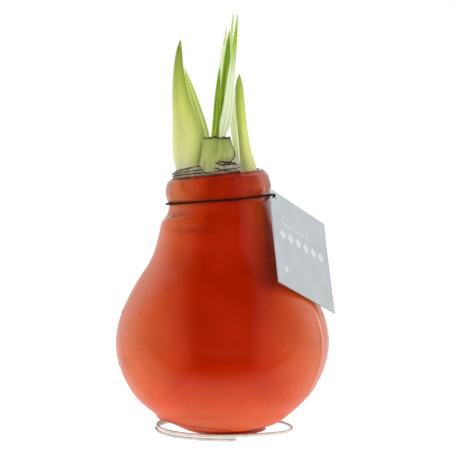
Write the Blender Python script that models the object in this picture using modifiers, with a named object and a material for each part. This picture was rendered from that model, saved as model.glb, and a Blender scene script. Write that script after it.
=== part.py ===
"""A waxed amaryllis bulb that stands in a wire ring, with its shoots, a neck cord and a card tag.

The bulb is dipped in coloured wax up to its neck. Two flower buds, an old cut leaf base and the young
leaves stand in its crown. Lengths are in millimetres here, and become metres when a mesh is made.
+Z is up, and the side with the cut leaf base and the tag faces -Y.
"""

import math

import bmesh
import bpy
from mathutils import Matrix, Vector

MM = 0.001

# Clearances between pieces that touch on the real thing.
GAP = 0.3
HOLE_GAP = 0.35

# The whole model is set so that the middle of its box is on the Z axis.
MODEL_SHIFT_X = -1.15
MODEL_SHIFT_Y = 0.32

# Wax coat: a skin on the bulb, open at the neck.
WAX_WALL = 1.6
WAX_STEPS = 40
RIM_Z = 111.9
RIM_RADIUS = 19.3
# Radius and height down the outer side, from below the rim to the foot.
WAX_OUTER = (
    (20.4, 110.9), (21.9, 108.2), (22.6, 104.2), (21.9, 101.0), (21.2, 98.6), (22.1, 94.2),
    (24.4, 88.8), (26.6, 83.0), (28.4, 77.6), (31.2, 72.2), (34.7, 67.3), (38.0, 62.2),
    (41.1, 56.6), (43.9, 50.0), (45.6, 43.6), (46.1, 37.6), (45.2, 30.8), (42.6, 23.4),
    (38.1, 15.8), (32.6, 10.4), (26.6, 6.8), (20.6, 4.6), (17.8, 3.2), (16.4, 1.6),
    (13.6, 0.6),
)
FOOT_Z = 0.4

# The neck leans to the left of the body, and its top is tilted down to the left.
NECK_LEAN = -2.1
LEAN_START_Z = 58.0
LEAN_END_Z = 96.0
NECK_TILT = 0.065
TILT_START_Z = 84.0
TILT_END_Z = 98.0

# Bulb: fills the wax coat, and ends in a low crown inside the rim.
BULB_STEPS = 28
BULB_INSET = WAX_WALL + HOLE_GAP
CROWN_EDGE_Z = 108.6
CROWN_TOP_Z = 110.2
SHOOT_ROOT_Z = 104.0

# Dry scale ends round the crown: radius, first and last angle in degrees, height at both ends.
SCALE_WALL = 0.9
SCALE_ROOT_Z = 106.0
SCALE_BEND_Z = 109.0
SCALE_ENDS = (
    (17.3, 199.0, 246.0, 113.2, 115.2),
    (15.9, 203.0, 254.0, 114.4, 116.2),
    (14.5, 212.0, 252.0, 115.2, 117.0),
    (17.1, 262.0, 300.0, 112.6, 113.4),
    (15.4, 266.0, 298.0, 114.2, 114.8),
    (17.2, 24.0, 92.0, 113.4, 114.6),
    (15.6, 58.0, 112.0, 115.0, 114.4),
    (17.2, 104.0, 150.0, 114.2, 113.0),
)

# Wire stand: a ring of a turn and a third, whose inner end rises into the foot.
WIRE_RADIUS = 0.65
WIRE_SIDES = 8
WIRE_TURN = math.pi / WIRE_SIDES
WIRE_REST_Z = WIRE_RADIUS * math.cos(WIRE_TURN)
RING_RADIUS = 29.5
RING_X = 0.65
RING_START = 280.0
RING_END = -195.0
RING_LIFT = 2 * WIRE_RADIUS + 0.3
RING_CLIMB_FROM = 5.0
RING_CLIMB_TO = -70.0
RING_STEP = 8.0
SPIKE_TOP_Z = 27.0

# Neck cord: a closed elastic loop in the neck's groove, through the tag's hole.
CORD_RADIUS = 0.45
CORD_Z = 99.4
CORD_SLOPE = 0.068
NECK_GROOVE_RADIUS = 21.35

# Tag: a square card, hung by a hole near its top left corner.
TAG_SIDE = 44.0
TAG_THICKNESS = 0.6
TAG_HOLE_RADIUS = 1.5
TAG_HOLE_INSET = 3.1
TAG_CORNER = Vector((19.6, -14.6, 104.7))
TAG_ALONG = Vector((0.578, 0.731, -0.362)).normalized()
TAG_DOWN_HINT = Vector((0.077, -0.490, -0.868))

# Leaf blades.
BLADE_THICKNESS = 0.75
BLADE_CUP = 0.35

# Shoots. Each row is x, y, z, half width, half depth.
BUD_LEFT = (
    (-14.4, 0.8, SHOOT_ROOT_Z, 3.7, 3.3),
    (-14.6, 0.8, 109.0, 4.0, 3.6),
    (-15.2, 0.9, 114.0, 4.9, 4.0),
    (-15.6, 1.0, 119.0, 5.9, 4.5),
    (-15.3, 1.0, 127.5, 6.4, 4.8),
    (-16.4, 1.0, 134.5, 5.3, 4.2),
    (-18.0, 1.0, 143.5, 3.8, 3.1),
    (-18.7, 1.0, 150.5, 2.9, 2.4),
    (-19.0, 1.0, 158.0, 2.0, 1.7),
    (-18.7, 1.0, 164.5, 1.2, 1.1),
    (-18.2, 1.0, 169.0, 0.35, 0.35),
)
BUD_RIGHT = (
    (10.7, 1.2, SHOOT_ROOT_Z, 3.1, 2.9),
    (10.9, 1.2, 109.5, 3.4, 3.0),
    (11.2, 1.2, 113.5, 3.5, 3.0),
    (9.9, 1.2, 120.5, 2.6, 2.3),
    (8.8, 1.2, 128.5, 2.2, 2.0),
    (7.9, 1.2, 137.0, 2.1, 1.8),
    (7.35, 1.2, 145.0, 1.95, 1.6),
    (7.2, 1.2, 150.0, 1.4, 1.2),
    (7.4, 1.2, 154.2, 0.35, 0.35),
)
BUD_SIDES = 16
CUT_BASE = (
    (-2.8, -5.2, SHOOT_ROOT_Z, 5.6, 5.4),
    (-2.8, -5.4, 109.5, 6.0, 5.9),
    (-2.9, -5.2, 114.0, 6.6, 6.0),
    (-2.1, -4.7, 119.0, 7.2, 5.6),
    (-2.0, -4.5, 122.5, 7.1, 5.4),
    (-2.4, -4.4, 126.6, 6.1, 5.1),
)
CUT_BASE_WALL = 1.2
CUT_BASE_FLOOR_Z = 113.6
CUT_BASE_SIDES = 24

# Leaves. Each row is x, y, z and half width.
LEAVES = {
    "leaf_back_left_near": (
        (-6.6, 5.0, SHOOT_ROOT_Z, 1.7),
        (-6.4, 5.0, 114.0, 1.9),
        (-7.8, 5.0, 128.2, 1.95),
        (-11.3, 5.0, 139.9, 1.8),
        (-14.3, 5.0, 149.0, 1.4),
        (-16.6, 5.0, 157.5, 0.4),
    ),
    "leaf_back_left_far": (
        (-9.3, 7.2, SHOOT_ROOT_Z, 1.6),
        (-9.0, 7.2, 114.0, 1.8),
        (-10.2, 7.2, 127.0, 1.9),
        (-13.6, 7.2, 139.0, 1.8),
        (-16.2, 7.2, 147.0, 1.3),
        (-18.0, 7.2, 154.0, 0.4),
    ),
    "leaf_middle_left": (
        (-4.6, -6.5, CUT_BASE_FLOOR_Z + GAP, 1.0),
        (-4.0, -6.5, 124.0, 1.1),
        (-3.1, -6.5, 132.0, 1.25),
        (-2.4, -6.5, 142.0, 1.1),
        (-1.7, -6.5, 150.0, 0.8),
        (-1.2, -6.5, 156.8, 0.35),
    ),
    "leaf_middle_pale": (
        (-3.6, -3.7, CUT_BASE_FLOOR_Z + GAP, 1.4),
        (-2.6, -3.7, 126.0, 1.6),
        (-1.0, -3.7, 140.0, 1.8),
        (0.2, -3.7, 155.0, 1.7),
        (1.0, -3.7, 165.0, 1.1),
        (1.7, -3.7, 173.8, 0.35),
    ),
    "leaf_middle_green": (
        (-2.3, -5.1, CUT_BASE_FLOOR_Z + GAP, 1.3),
        (-1.4, -5.1, 126.0, 1.5),
        (0.1, -5.1, 140.0, 1.6),
        (1.5, -5.1, 155.0, 1.4),
        (2.3, -5.1, 164.0, 1.0),
        (3.0, -5.1, 172.3, 0.35),
    ),
    "leaf_middle_thin": (
        (-1.6, -2.3, CUT_BASE_FLOOR_Z + GAP, 0.9),
        (-1.2, -2.3, 126.0, 1.1),
        (1.2, -2.3, 145.0, 1.3),
        (3.0, -2.3, 162.0, 1.0),
        (4.2, -2.3, 174.0, 0.5),
        (4.7, -2.3, 180.4, 0.35),
    ),
    "leaf_middle_broad": (
        (-0.9, -6.5, CUT_BASE_FLOOR_Z + GAP, 1.3),
        (-0.5, -6.5, 123.0, 1.4),
        (0.0, -6.5, 127.4, 1.5),
        (1.1, -6.5, 132.0, 2.4),
        (2.6, -6.5, 141.0, 2.1),
        (4.0, -6.5, 155.0, 1.5),
        (5.4, -6.5, 168.0, 0.9),
        (6.5, -6.5, 179.0, 0.35),
    ),
    "leaf_right": (
        (6.6, 5.2, SHOOT_ROOT_Z, 1.2),
        (6.5, 5.2, 113.0, 1.3),
        (5.9, 5.2, 121.5, 1.1),
        (5.0, 5.2, 130.0, 1.3),
        (4.5, 5.2, 140.0, 1.1),
        (4.7, 5.2, 148.5, 0.35),
    ),
}
CROWN_LEAVES = ("leaf_back_left_near", "leaf_back_left_far", "leaf_right")
SPAN_STEPS = 2

COLOURS = {
    "wax": (0.62, 0.045, 0.008, 0.28),
    "bulb": (0.33, 0.22, 0.12, 0.80),
    "bud": (0.42, 0.52, 0.16, 0.42),
    "leaf": (0.28, 0.45, 0.08, 0.42),
    "cut": (0.30, 0.36, 0.10, 0.55),
    "cord": (0.012, 0.012, 0.014, 0.65),
    "card": (0.60, 0.65, 0.68, 0.55),
    "wire": (0.62, 0.61, 0.58, 0.30),
}


def clear_scene():
    """Remove what the start-up scene holds."""
    for thing in list(bpy.data.objects):
        bpy.data.objects.remove(thing, do_unlink=True)


def make_collection(name):
    """Make a collection in the scene."""
    group = bpy.data.collections.new(name)
    bpy.context.scene.collection.children.link(group)
    return group


def make_material(name, metallic=0.0):
    """A Principled material from the table of colours."""
    red, green, blue, roughness = COLOURS[name]
    material = bpy.data.materials.new(name)
    material.use_nodes = True
    shader = material.node_tree.nodes["Principled BSDF"]
    shader.inputs["Base Color"].default_value = (red, green, blue, 1.0)
    shader.inputs["Roughness"].default_value = roughness
    shader.inputs["Metallic"].default_value = metallic
    return material


def object_from(name, mesh, group, material=None):
    """Put a mesh in the scene as an object of a collection."""
    thing = bpy.data.objects.new(name, mesh)
    group.objects.link(thing)
    if material:
        mesh.materials.append(material)
    return thing


def ease(value, start, end):
    """A smooth step from 0 at start to 1 at end."""
    share = min(max((value - start) / (end - start), 0.0), 1.0)
    return share * share * (3.0 - 2.0 * share)


def lean(point):
    """Lean and tilt the neck, as the whole bulb and its coat do."""
    x, y, z = point
    shift = NECK_LEAN * ease(z, LEAN_START_Z, LEAN_END_Z)
    rise = NECK_TILT * x * ease(z, TILT_START_Z, TILT_END_Z)
    angle = math.atan2(y, x)
    belly = ease(z, 8.0, 30.0) * (1.0 - ease(z, 70.0, 92.0))
    swell = 1.0 + belly * (0.010 * math.sin(2.0 * angle + 0.6) + 0.007 * math.sin(3.0 * angle))
    return Vector((x * swell + shift, y * swell, z + rise))


def smooth_rows(rows, steps=SPAN_STEPS):
    """Rows of numbers along a smooth curve through the given rows."""
    last = len(rows) - 1
    result = []
    for span in range(last):
        before = rows[max(span - 1, 0)]
        here = rows[span]
        there = rows[span + 1]
        after = rows[min(span + 2, last)]
        for step in range(steps):
            t = step / steps
            row = []
            for a, b, c, d in zip(before, here, there, after):
                slope = (c - a) * t
                bend = (2.0 * a - 5.0 * b + 4.0 * c - d) * t * t
                turn = (3.0 * b - a - 3.0 * c + d) * t * t * t
                row.append(0.5 * (2.0 * b + slope + bend + turn))
            result.append(tuple(row))
    result.append(tuple(rows[last]))
    return result


def inset_outline(outline, depth):
    """The (radius, height) points moved inwards, square to the outline."""
    moved = []
    for index, (radius, height) in enumerate(outline):
        before = outline[max(index - 1, 0)]
        after = outline[min(index + 1, len(outline) - 1)]
        run = after[0] - before[0]
        fall = after[1] - before[1]
        length = math.hypot(run, fall)
        moved.append((radius + depth * fall / length, height - depth * run / length))
    return moved


def turned(name, outline, steps, group, material):
    """A solid turned round the Z axis, then leaned with the neck."""
    mesh = bpy.data.meshes.new(name + "_outline")
    points = [(radius * MM, 0.0, height * MM) for radius, height in outline]
    edges = [(index, index + 1) for index in range(len(points) - 1)]
    mesh.from_pydata(points, edges, [])
    guide = object_from(name + "_guide", mesh, group)
    screw = guide.modifiers.new("turn", "SCREW")
    screw.steps = steps
    screw.render_steps = steps
    screw.use_merge_vertices = True
    screw.merge_threshold = 0.00005
    screw.use_normal_calculate = True
    solid = applied(guide, name, group, material)
    for vertex in solid.data.vertices:
        vertex.co = lean(vertex.co / MM) * MM
    return solid


def applied(source, name, group, material=None):
    """A plain mesh object from an object's modifiers, in place of that object."""
    bpy.context.view_layer.update()
    graph = bpy.context.evaluated_depsgraph_get()
    mesh = bpy.data.meshes.new_from_object(source.evaluated_get(graph))
    mesh.transform(source.matrix_world)
    bpy.data.objects.remove(source, do_unlink=True)
    mesh.name = name
    shape = bmesh.new()
    shape.from_mesh(mesh)
    bmesh.ops.remove_doubles(shape, verts=shape.verts, dist=0.000002)
    shape.to_mesh(mesh)
    shape.free()
    mesh.materials.clear()
    return object_from(name, mesh, group, material)


def loft(name, rings, group, material=None, mirror_from=None):
    """A closed solid through rings of equal point counts, with flat ends.

    Past column mirror_from the quads are split the other way, so that the two faces of a thin blade
    are split alike.
    """
    shape = bmesh.new()
    rows = [[shape.verts.new(Vector(point) * MM) for point in ring] for ring in rings]
    count = len(rows[0])
    for low, high in zip(rows, rows[1:]):
        for column in range(count):
            beside = (column + 1) % count
            if mirror_from is not None and column >= mirror_from:
                shape.faces.new((low[column], low[beside], high[column]))
                shape.faces.new((low[beside], high[beside], high[column]))
            else:
                shape.faces.new((low[column], low[beside], high[beside]))
                shape.faces.new((low[column], high[beside], high[column]))
    shape.faces.new(tuple(reversed(rows[0])))
    shape.faces.new(tuple(rows[-1]))
    bmesh.ops.recalc_face_normals(shape, faces=shape.faces)
    mesh = bpy.data.meshes.new(name)
    shape.to_mesh(mesh)
    shape.free()
    return object_from(name, mesh, group, material)


def boolean(thing, operation, cutter, solver="EXACT"):
    """Join or cut a mesh by another, and keep the plain result."""
    step = thing.modifiers.new(operation.lower(), "BOOLEAN")
    step.operation = operation
    step.object = cutter
    step.solver = solver
    name = thing.name
    group = thing.users_collection[0]
    material = thing.data.materials[0] if thing.data.materials else None
    thing.name = name + "_before"
    return applied(thing, name, group, material)


def make_wax_coat(group, material):
    """The wax skin, as one outline that runs up inside, over the rim and down outside."""
    outer = list(WAX_OUTER)
    inner = inset_outline(outer, WAX_WALL)
    floor = (0.0, FOOT_Z + WAX_WALL)
    inside = [floor] + list(reversed(inner))
    rim = [(RIM_RADIUS - 0.9, RIM_Z - 0.3), (RIM_RADIUS - 0.1, RIM_Z)]
    outside = outer + [(0.0, FOOT_Z)]
    return turned("wax_coat", inside + rim + outside, WAX_STEPS, group, material)


def make_scale_end(index, row, group):
    """One dry scale end: a thin curved wall with a wavy top, rooted in the crown."""
    radius, first, last, start_z, end_z = row
    columns = 10
    rings = []
    for column in range(columns + 1):
        share = column / columns
        angle = math.radians(first + (last - first) * share)
        fade = math.sin(math.pi * share) ** 0.5
        wave = 0.45 * math.sin(9.0 * share + index) + 0.25 * math.sin(23.0 * share + 2.0 * index)
        top = start_z + (end_z - start_z) * share + wave
        top = SCALE_ROOT_Z + 4.0 + (top - SCALE_ROOT_Z - 4.0) * (0.35 + 0.65 * fade)
        flare = 0.9 * ease(top, 112.0, 115.0)
        half = SCALE_WALL / 2.0
        section = (
            (radius - half - 0.4, SCALE_ROOT_Z), (radius + half - 0.4, SCALE_ROOT_Z),
            (radius + half, SCALE_BEND_Z), (radius + half + flare, top),
            (radius - half + flare, top), (radius - half, SCALE_BEND_Z),
        )
        ring = []
        for out, height in section:
            x = out * math.cos(angle)
            tilt = NECK_TILT * x
            ring.append((x + NECK_LEAN, out * math.sin(angle), height + tilt))
        rings.append(ring)
    return loft("scale_end_%d" % index, rings, group)


def make_bulb(group, cutters, material):
    """The natural bulb inside the wax, with its crown and the dry ends of its outer scales."""
    side = [point for point in inset_outline(WAX_OUTER, BULB_INSET) if point[1] < CROWN_EDGE_Z]
    crown = [(0.0, CROWN_TOP_Z), (9.0, CROWN_TOP_Z - 0.2), (14.5, CROWN_TOP_Z - 0.6)]
    edge = [(17.6, CROWN_EDGE_Z)]
    foot = [(0.0, FOOT_Z + BULB_INSET)]
    bulb = turned("bulb", crown + edge + side + foot, BULB_STEPS, group, material)
    ends = make_collection("scale_ends")
    for index, row in enumerate(SCALE_ENDS):
        make_scale_end(index, row, ends)
    join = bulb.modifiers.new("join", "BOOLEAN")
    join.operation = "UNION"
    join.operand_type = "COLLECTION"
    join.collection = ends
    join.solver = "EXACT"
    bulb.name = "bulb_before"
    bulb = applied(bulb, "bulb", group, material)
    for thing in list(ends.objects):
        bpy.data.objects.remove(thing, do_unlink=True)
    bpy.data.collections.remove(ends)
    for cutter in cutters:
        bulb = boolean(bulb, "DIFFERENCE", cutter)
    return bulb


def oval_rings(rows, sides, grow=0.0):
    """Level oval rings, each from a row of x, y, z, half width and half depth."""
    rings = []
    for x, y, z, half_width, half_depth in rows:
        ring = []
        for side in range(sides):
            angle = 2.0 * math.pi * side / sides
            across = (half_width + grow) * math.cos(angle)
            deep = (half_depth + grow) * math.sin(angle)
            ring.append((x + across, y + deep, z))
        rings.append(ring)
    return rings


def lowered(rows, grow):
    """The same rows with the root a little lower, for a hole with room under the shoot."""
    first = rows[0]
    return [first[:2] + (first[2] - grow,) + first[3:]] + list(rows[1:])


def make_bud(name, rows, group, material=None, grow=0.0):
    """A flower bud: a smooth oval shoot that narrows to a tip."""
    path = smooth_rows(lowered(rows, grow))
    return loft(name, oval_rings(path, BUD_SIDES, grow), group, material)


def cut_edge(angle):
    """The ragged height of the cut leaf base's dry rim."""
    return 0.35 * math.sin(3.0 * angle + 0.7) + 0.2 * math.sin(7.0 * angle)


def make_cut_base(name, group, material=None, grow=0.0):
    """The old leaf base, cut off square: a hollow stub whose wall folds round the young leaves."""
    path = smooth_rows(lowered(CUT_BASE, grow))
    rings = oval_rings(path, CUT_BASE_SIDES, grow)
    if grow:
        return loft(name, rings, group, material)
    top_x, top_y, top_z, half_width, half_depth = CUT_BASE[-1]
    hollow = (
        (top_x, top_y, top_z, half_width - CUT_BASE_WALL, half_depth - CUT_BASE_WALL),
        (top_x, top_y, CUT_BASE_FLOOR_Z, half_width - 1.1, half_depth - 1.1),
    )
    rings += oval_rings(hollow, CUT_BASE_SIDES)
    for index in (-3, -2):
        ring = rings[index]
        for side, (x, y, z) in enumerate(ring):
            angle = 2.0 * math.pi * side / CUT_BASE_SIDES
            ring[side] = (x, y, z + cut_edge(angle))
    return loft(name, rings, group, material)


def blade_rings(rows, grow=0.0):
    """Thin cupped sections along a leaf, each from x, y, z and half width."""
    across_shares = (-1.0, -0.62, 0.0, 0.62, 1.0)
    rings = []
    last = len(rows) - 1
    for index, (x, y, z, half_width) in enumerate(rows):
        before = Vector(rows[max(index - 1, 0)][:3])
        after = Vector(rows[min(index + 1, last)][:3])
        along = (after - before).normalized()
        across = Vector((1.0, 0.0, 0.0))
        across = (across - along * across.dot(along)).normalized()
        outward = along.cross(across)
        centre = Vector((x, y, z))
        front = []
        back = []
        for share in across_shares:
            half = BLADE_THICKNESS / 2.0 * (1.0 - 0.4 * share ** 4) + grow
            cup = BLADE_CUP * share * share * min(half_width, 1.5) / 1.5
            place = centre + across * share * (half_width + grow)
            front.append(place + outward * (half + cup))
            back.append(place + outward * (cup - half))
        rings.append(front + list(reversed(back)))
    return rings


def make_leaf(name, rows, group, material=None, grow=0.0):
    """A young leaf: a narrow strap that narrows to its tip."""
    path = smooth_rows(lowered(rows, grow))
    return loft(name, blade_rings(path, grow), group, material, mirror_from=5)


def tube(name, points, radius, group, material=None, closed=False):
    """A tube of eight sides along the points, turned so that a flat side is underneath."""
    curve = bpy.data.curves.new(name + "_path", "CURVE")
    curve.dimensions = "3D"
    curve.bevel_depth = radius * MM
    curve.bevel_resolution = 2
    curve.use_fill_caps = not closed
    spline = curve.splines.new("POLY")
    spline.points.add(len(points) - 1)
    for target, point in zip(spline.points, points):
        target.co = (point[0] * MM, point[1] * MM, point[2] * MM, 1.0)
        target.tilt = WIRE_TURN
    spline.use_cyclic_u = closed
    guide = bpy.data.objects.new(name + "_guide", curve)
    group.objects.link(guide)
    return applied(guide, name, group, material)


def wire_points():
    """The ring from its free end, over itself at the front, and the end that rises into the foot."""
    points = []
    angle = RING_START
    while angle > RING_END:
        climb = ease(-angle, -RING_CLIMB_FROM, -RING_CLIMB_TO)
        radius = RING_RADIUS - 0.5 * climb
        turn = math.radians(angle)
        x = RING_X + radius * math.cos(turn)
        points.append((x, radius * math.sin(turn), WIRE_REST_Z + RING_LIFT * climb))
        angle -= RING_STEP
    turn = math.radians(RING_END)
    inward = Vector((-math.cos(turn), -math.sin(turn)))
    side = Vector((math.sin(turn), -math.cos(turn)))
    start = Vector((RING_X, 0.0)) - inward * (RING_RADIUS - 0.5)
    run = (
        (0.8, 1.4, 2.4), (2.6, 3.0, 2.7), (5.2, 3.6, 3.4), (9.0, 3.2, 4.8),
        (14.0, 2.2, 6.6), (19.0, 1.2, 8.0), (23.5, 0.5, 9.4), (26.6, 0.2, 11.4),
        (28.2, 0.0, 14.4), (28.6, 0.0, 18.0), (28.6, 0.0, SPIKE_TOP_Z),
    )
    for far, aside, height in smooth_rows(run, 2):
        spot = start + inward * far + side * aside
        points.append((spot.x, spot.y, height))
    return points


def tag_frame():
    """The tag's directions: along its top edge, up its side, and out of its face."""
    down = (TAG_DOWN_HINT - TAG_ALONG * TAG_DOWN_HINT.dot(TAG_ALONG)).normalized()
    up = -down
    face = TAG_ALONG.cross(up)
    return TAG_ALONG, up, face


def tag_hole_centre():
    """The middle of the tag's hole."""
    along, up, face = tag_frame()
    return TAG_CORNER + along * TAG_HOLE_INSET - up * TAG_HOLE_INSET


def make_tag(group, cutters, material):
    """The square card with its punched hole."""
    along, up, face = tag_frame()
    centre = TAG_CORNER + (along - up) * (TAG_SIDE / 2.0)
    turn = Matrix((along, up, face)).transposed().to_4x4()
    bpy.ops.mesh.primitive_cube_add(size=1.0)
    card = bpy.context.object
    card.data.transform(Matrix.Diagonal((TAG_SIDE * MM, TAG_SIDE * MM, TAG_THICKNESS * MM, 1.0)))
    card.matrix_world = Matrix.Translation(centre * MM) @ turn
    bpy.ops.mesh.primitive_cylinder_add(vertices=20, radius=TAG_HOLE_RADIUS * MM, depth=3.0 * MM)
    punch = bpy.context.object
    punch.matrix_world = Matrix.Translation(tag_hole_centre() * MM) @ turn
    punch.name = "tag_punch"
    put_away(punch, cutters)
    cut = card.modifiers.new("hole", "BOOLEAN")
    cut.object = punch
    cut.solver = "EXACT"
    return applied(card, "tag", group, material)


def put_away(thing, cutters):
    """Move a cutter to the cutters' collection, out of the render."""
    for group in list(thing.users_collection):
        group.objects.unlink(thing)
    cutters.objects.link(thing)
    thing.hide_render = True
    thing.display_type = "WIRE"
    return thing


def cord_points():
    """Round the neck's groove, then out over the tag's edge and back in through its hole."""
    along, up, face = tag_frame()
    hole = tag_hole_centre()
    reach = NECK_GROOVE_RADIUS + CORD_RADIUS + GAP
    far = math.hypot(hole.x - NECK_LEAN, hole.y)
    aim = math.atan2(hole.y, hole.x - NECK_LEAN)
    spread = math.acos(reach / far)
    first = aim + spread
    last = aim - spread + 2.0 * math.pi
    points = []
    steps = 44
    for step in range(steps + 1):
        angle = first + (last - first) * step / steps
        x = NECK_LEAN + reach * math.cos(angle)
        points.append((x, reach * math.sin(angle), CORD_Z + CORD_SLOPE * (x - NECK_LEAN)))
    over_edge = hole - along * (TAG_HOLE_INSET + 0.4) + face * 1.25
    entering = hole - along * 0.8 + face * 1.0
    leaving = hole + along * 0.75 - face * 1.0
    start = Vector(points[-1])
    for share in (0.25, 0.5, 0.75):
        points.append(tuple(start.lerp(over_edge, share)))
    points += [tuple(over_edge), tuple(entering.lerp(over_edge, 0.35)), tuple(entering)]
    points += [tuple(hole), tuple(leaving)]
    back = Vector(points[0])
    for share in (0.35, 0.7):
        points.append(tuple(leaving.lerp(back, share)))
    return points


def shade(thing):
    """Smooth shading, sharp where faces meet at more than half a right angle."""
    thing.data.shade_smooth()
    thing.data.set_sharp_from_angle(angle=math.radians(45.0))


def build():
    """Make every piece of the plant, its coat, its cord, its tag and its stand."""
    clear_scene()
    group = make_collection("waxed_amaryllis")
    cutters = make_collection("cutters")
    paint = {name: make_material(name, 1.0 if name == "wire" else 0.0) for name in COLOURS}

    holes = [
        make_bud("bud_left_hole", BUD_LEFT, cutters, grow=HOLE_GAP),
        make_bud("bud_right_hole", BUD_RIGHT, cutters, grow=HOLE_GAP),
        make_cut_base("cut_base_hole", cutters, grow=HOLE_GAP),
    ]
    for name in CROWN_LEAVES:
        holes.append(make_leaf(name + "_hole", LEAVES[name], cutters, grow=HOLE_GAP))
    spike_hole = tube("spike_hole", wire_points(), WIRE_RADIUS + HOLE_GAP, cutters)
    for cutter in holes + [spike_hole]:
        put_away(cutter, cutters)

    coat = make_wax_coat(group, paint["wax"])
    boolean(coat, "DIFFERENCE", spike_hole)
    make_bulb(group, holes + [spike_hole], paint["bulb"])
    make_bud("flower_bud_left", BUD_LEFT, group, paint["bud"])
    make_bud("flower_bud_right", BUD_RIGHT, group, paint["bud"])
    make_cut_base("cut_leaf_base", group, paint["cut"])
    for name, rows in LEAVES.items():
        make_leaf(name, rows, group, paint["leaf"])
    tube("wire_stand", wire_points(), WIRE_RADIUS, group, paint["wire"])
    make_tag(group, cutters, paint["card"])
    tube("neck_cord", cord_points(), CORD_RADIUS, group, paint["cord"], closed=True)

    place = bpy.data.objects.new("model_place", None)
    group.objects.link(place)
    place.location = (MODEL_SHIFT_X * MM, MODEL_SHIFT_Y * MM, 0.0)
    for thing in group.objects:
        if thing.type == "MESH":
            shade(thing)
            thing.parent = place


build()
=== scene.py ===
# %% [markdown]
# # A waxed amaryllis bulb, finished for the camera
#
# The frame holds the solid pieces at their real size. This lesson dresses them: a glossy wax skin with
# folds and bubbles, papery scale ends, fleshy buds and leaves, an elastic cord, a card tag and a wire
# ring. Lengths are written in millimetres in the plant's own frame, and `row_point` turns them into the
# metres of the frame.

# %% Load the frame
import math

import bmesh
import bpy
from mathutils import Matrix, Vector, noise


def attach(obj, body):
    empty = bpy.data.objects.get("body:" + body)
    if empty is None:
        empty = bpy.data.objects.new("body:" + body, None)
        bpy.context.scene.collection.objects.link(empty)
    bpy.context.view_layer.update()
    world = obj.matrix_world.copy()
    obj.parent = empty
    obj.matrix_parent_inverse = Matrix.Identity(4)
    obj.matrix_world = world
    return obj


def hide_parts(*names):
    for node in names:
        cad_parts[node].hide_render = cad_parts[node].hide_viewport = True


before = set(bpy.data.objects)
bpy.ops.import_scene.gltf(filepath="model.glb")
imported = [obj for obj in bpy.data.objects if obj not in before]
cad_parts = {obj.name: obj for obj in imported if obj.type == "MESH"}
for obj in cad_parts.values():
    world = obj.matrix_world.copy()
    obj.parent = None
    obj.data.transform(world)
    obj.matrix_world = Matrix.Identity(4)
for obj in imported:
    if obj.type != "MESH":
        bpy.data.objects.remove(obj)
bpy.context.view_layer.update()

# %% [markdown]
# ## The plant's own frame
#
# The solids were placed so that the middle of their box is on the Z axis. The bulb's own axis is
# therefore a little to one side, and every measure below counts from that axis.

# %% Units and small helpers
MM = 0.001
PLANT_SHIFT = Vector((-1.15, 0.32, 0.0))


def row_point(point):
    """A point of the plant's frame, in millimetres, as a point of the row frame, in metres."""
    return (Vector(point) + PLANT_SHIFT) * MM


def ease(value, start, end):
    """A smooth step from 0 at start to 1 at end."""
    share = min(max((value - start) / (end - start), 0.0), 1.0)
    return share * share * (3.0 - 2.0 * share)


def fall(value, start, end):
    """A smooth step from 1 at start to 0 at end."""
    return 1.0 - ease(value, start, end)


def hill(value, centre, width):
    """A round hill of height 1 over a number line."""
    return math.exp(-((value - centre) / width) ** 2)


def turn_hill(angle, centre_degrees, width_degrees):
    """A round hill of height 1 over an angle, which closes on itself after a full turn."""
    apart = math.degrees(angle) - centre_degrees
    apart = (apart + 180.0) % 360.0 - 180.0
    return math.exp(-(apart / width_degrees) ** 2)


def smooth_rows(rows, steps):
    """Rows of numbers along a smooth curve through the given rows."""
    last = len(rows) - 1
    result = []
    for span in range(last):
        a_row = rows[max(span - 1, 0)]
        d_row = rows[min(span + 2, last)]
        for step in range(steps):
            t = step / steps
            row = []
            for a, b, c, d in zip(a_row, rows[span], rows[span + 1], d_row):
                bend = (2.0 * a - 5.0 * b + 4.0 * c - d) * t * t
                turn = (3.0 * b - a - 3.0 * c + d) * t * t * t
                row.append(0.5 * (2.0 * b + (c - a) * t + bend + turn))
            result.append(tuple(row))
    result.append(tuple(rows[last]))
    return result


def add_object(name, mesh, material=None):
    """Put a mesh in the scene, unturned and at the origin."""
    thing = bpy.data.objects.new(name, mesh)
    bpy.context.scene.collection.objects.link(thing)
    if material:
        mesh.materials.clear()
        mesh.materials.append(material)
    return thing


def ring_mesh(name, rings, marks=None, mark_name="mark"):
    """A closed skin through rings of equal point counts, in plant millimetres, with a mark per point."""
    shape = bmesh.new()
    layer = shape.verts.layers.float.new(mark_name) if marks else None
    rows = []
    for index, ring in enumerate(rings):
        row = [shape.verts.new(row_point(point)) for point in ring]
        if marks:
            for vertex, mark in zip(row, marks[index]):
                vertex[layer] = mark
        rows.append(row)
    count = len(rows[0])
    for low, high in zip(rows, rows[1:]):
        for column in range(count):
            beside = (column + 1) % count
            shape.faces.new((low[column], low[beside], high[beside], high[column]))
    for row in (rows[0], rows[-1]):
        middle = shape.verts.new(sum((vertex.co for vertex in row), Vector()) / count)
        if marks:
            middle[layer] = row[0][layer]
        for column in range(count):
            shape.faces.new((row[column], row[(column + 1) % count], middle))
    bmesh.ops.recalc_face_normals(shape, faces=shape.faces)
    mesh = bpy.data.meshes.new(name)
    shape.to_mesh(mesh)
    shape.free()
    mesh.shade_smooth()
    return mesh


# %% [markdown]
# ## Camera
#
# The picture was taken from a little above the neck, about 0.58 m away, with a short telephoto lens.
# The ring at the foot shows as a flat oval and the cord at the neck as almost a straight line, which
# gives both the height and the distance. The camera comes first, so that every later piece can be
# looked at as soon as it is made.

# %% Camera
CAMERA_POINT = (1.95, -580.0, 100.5)
CAMERA_DOWN_DEGREES = 1.24
LENS_MM = 106.2

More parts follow.
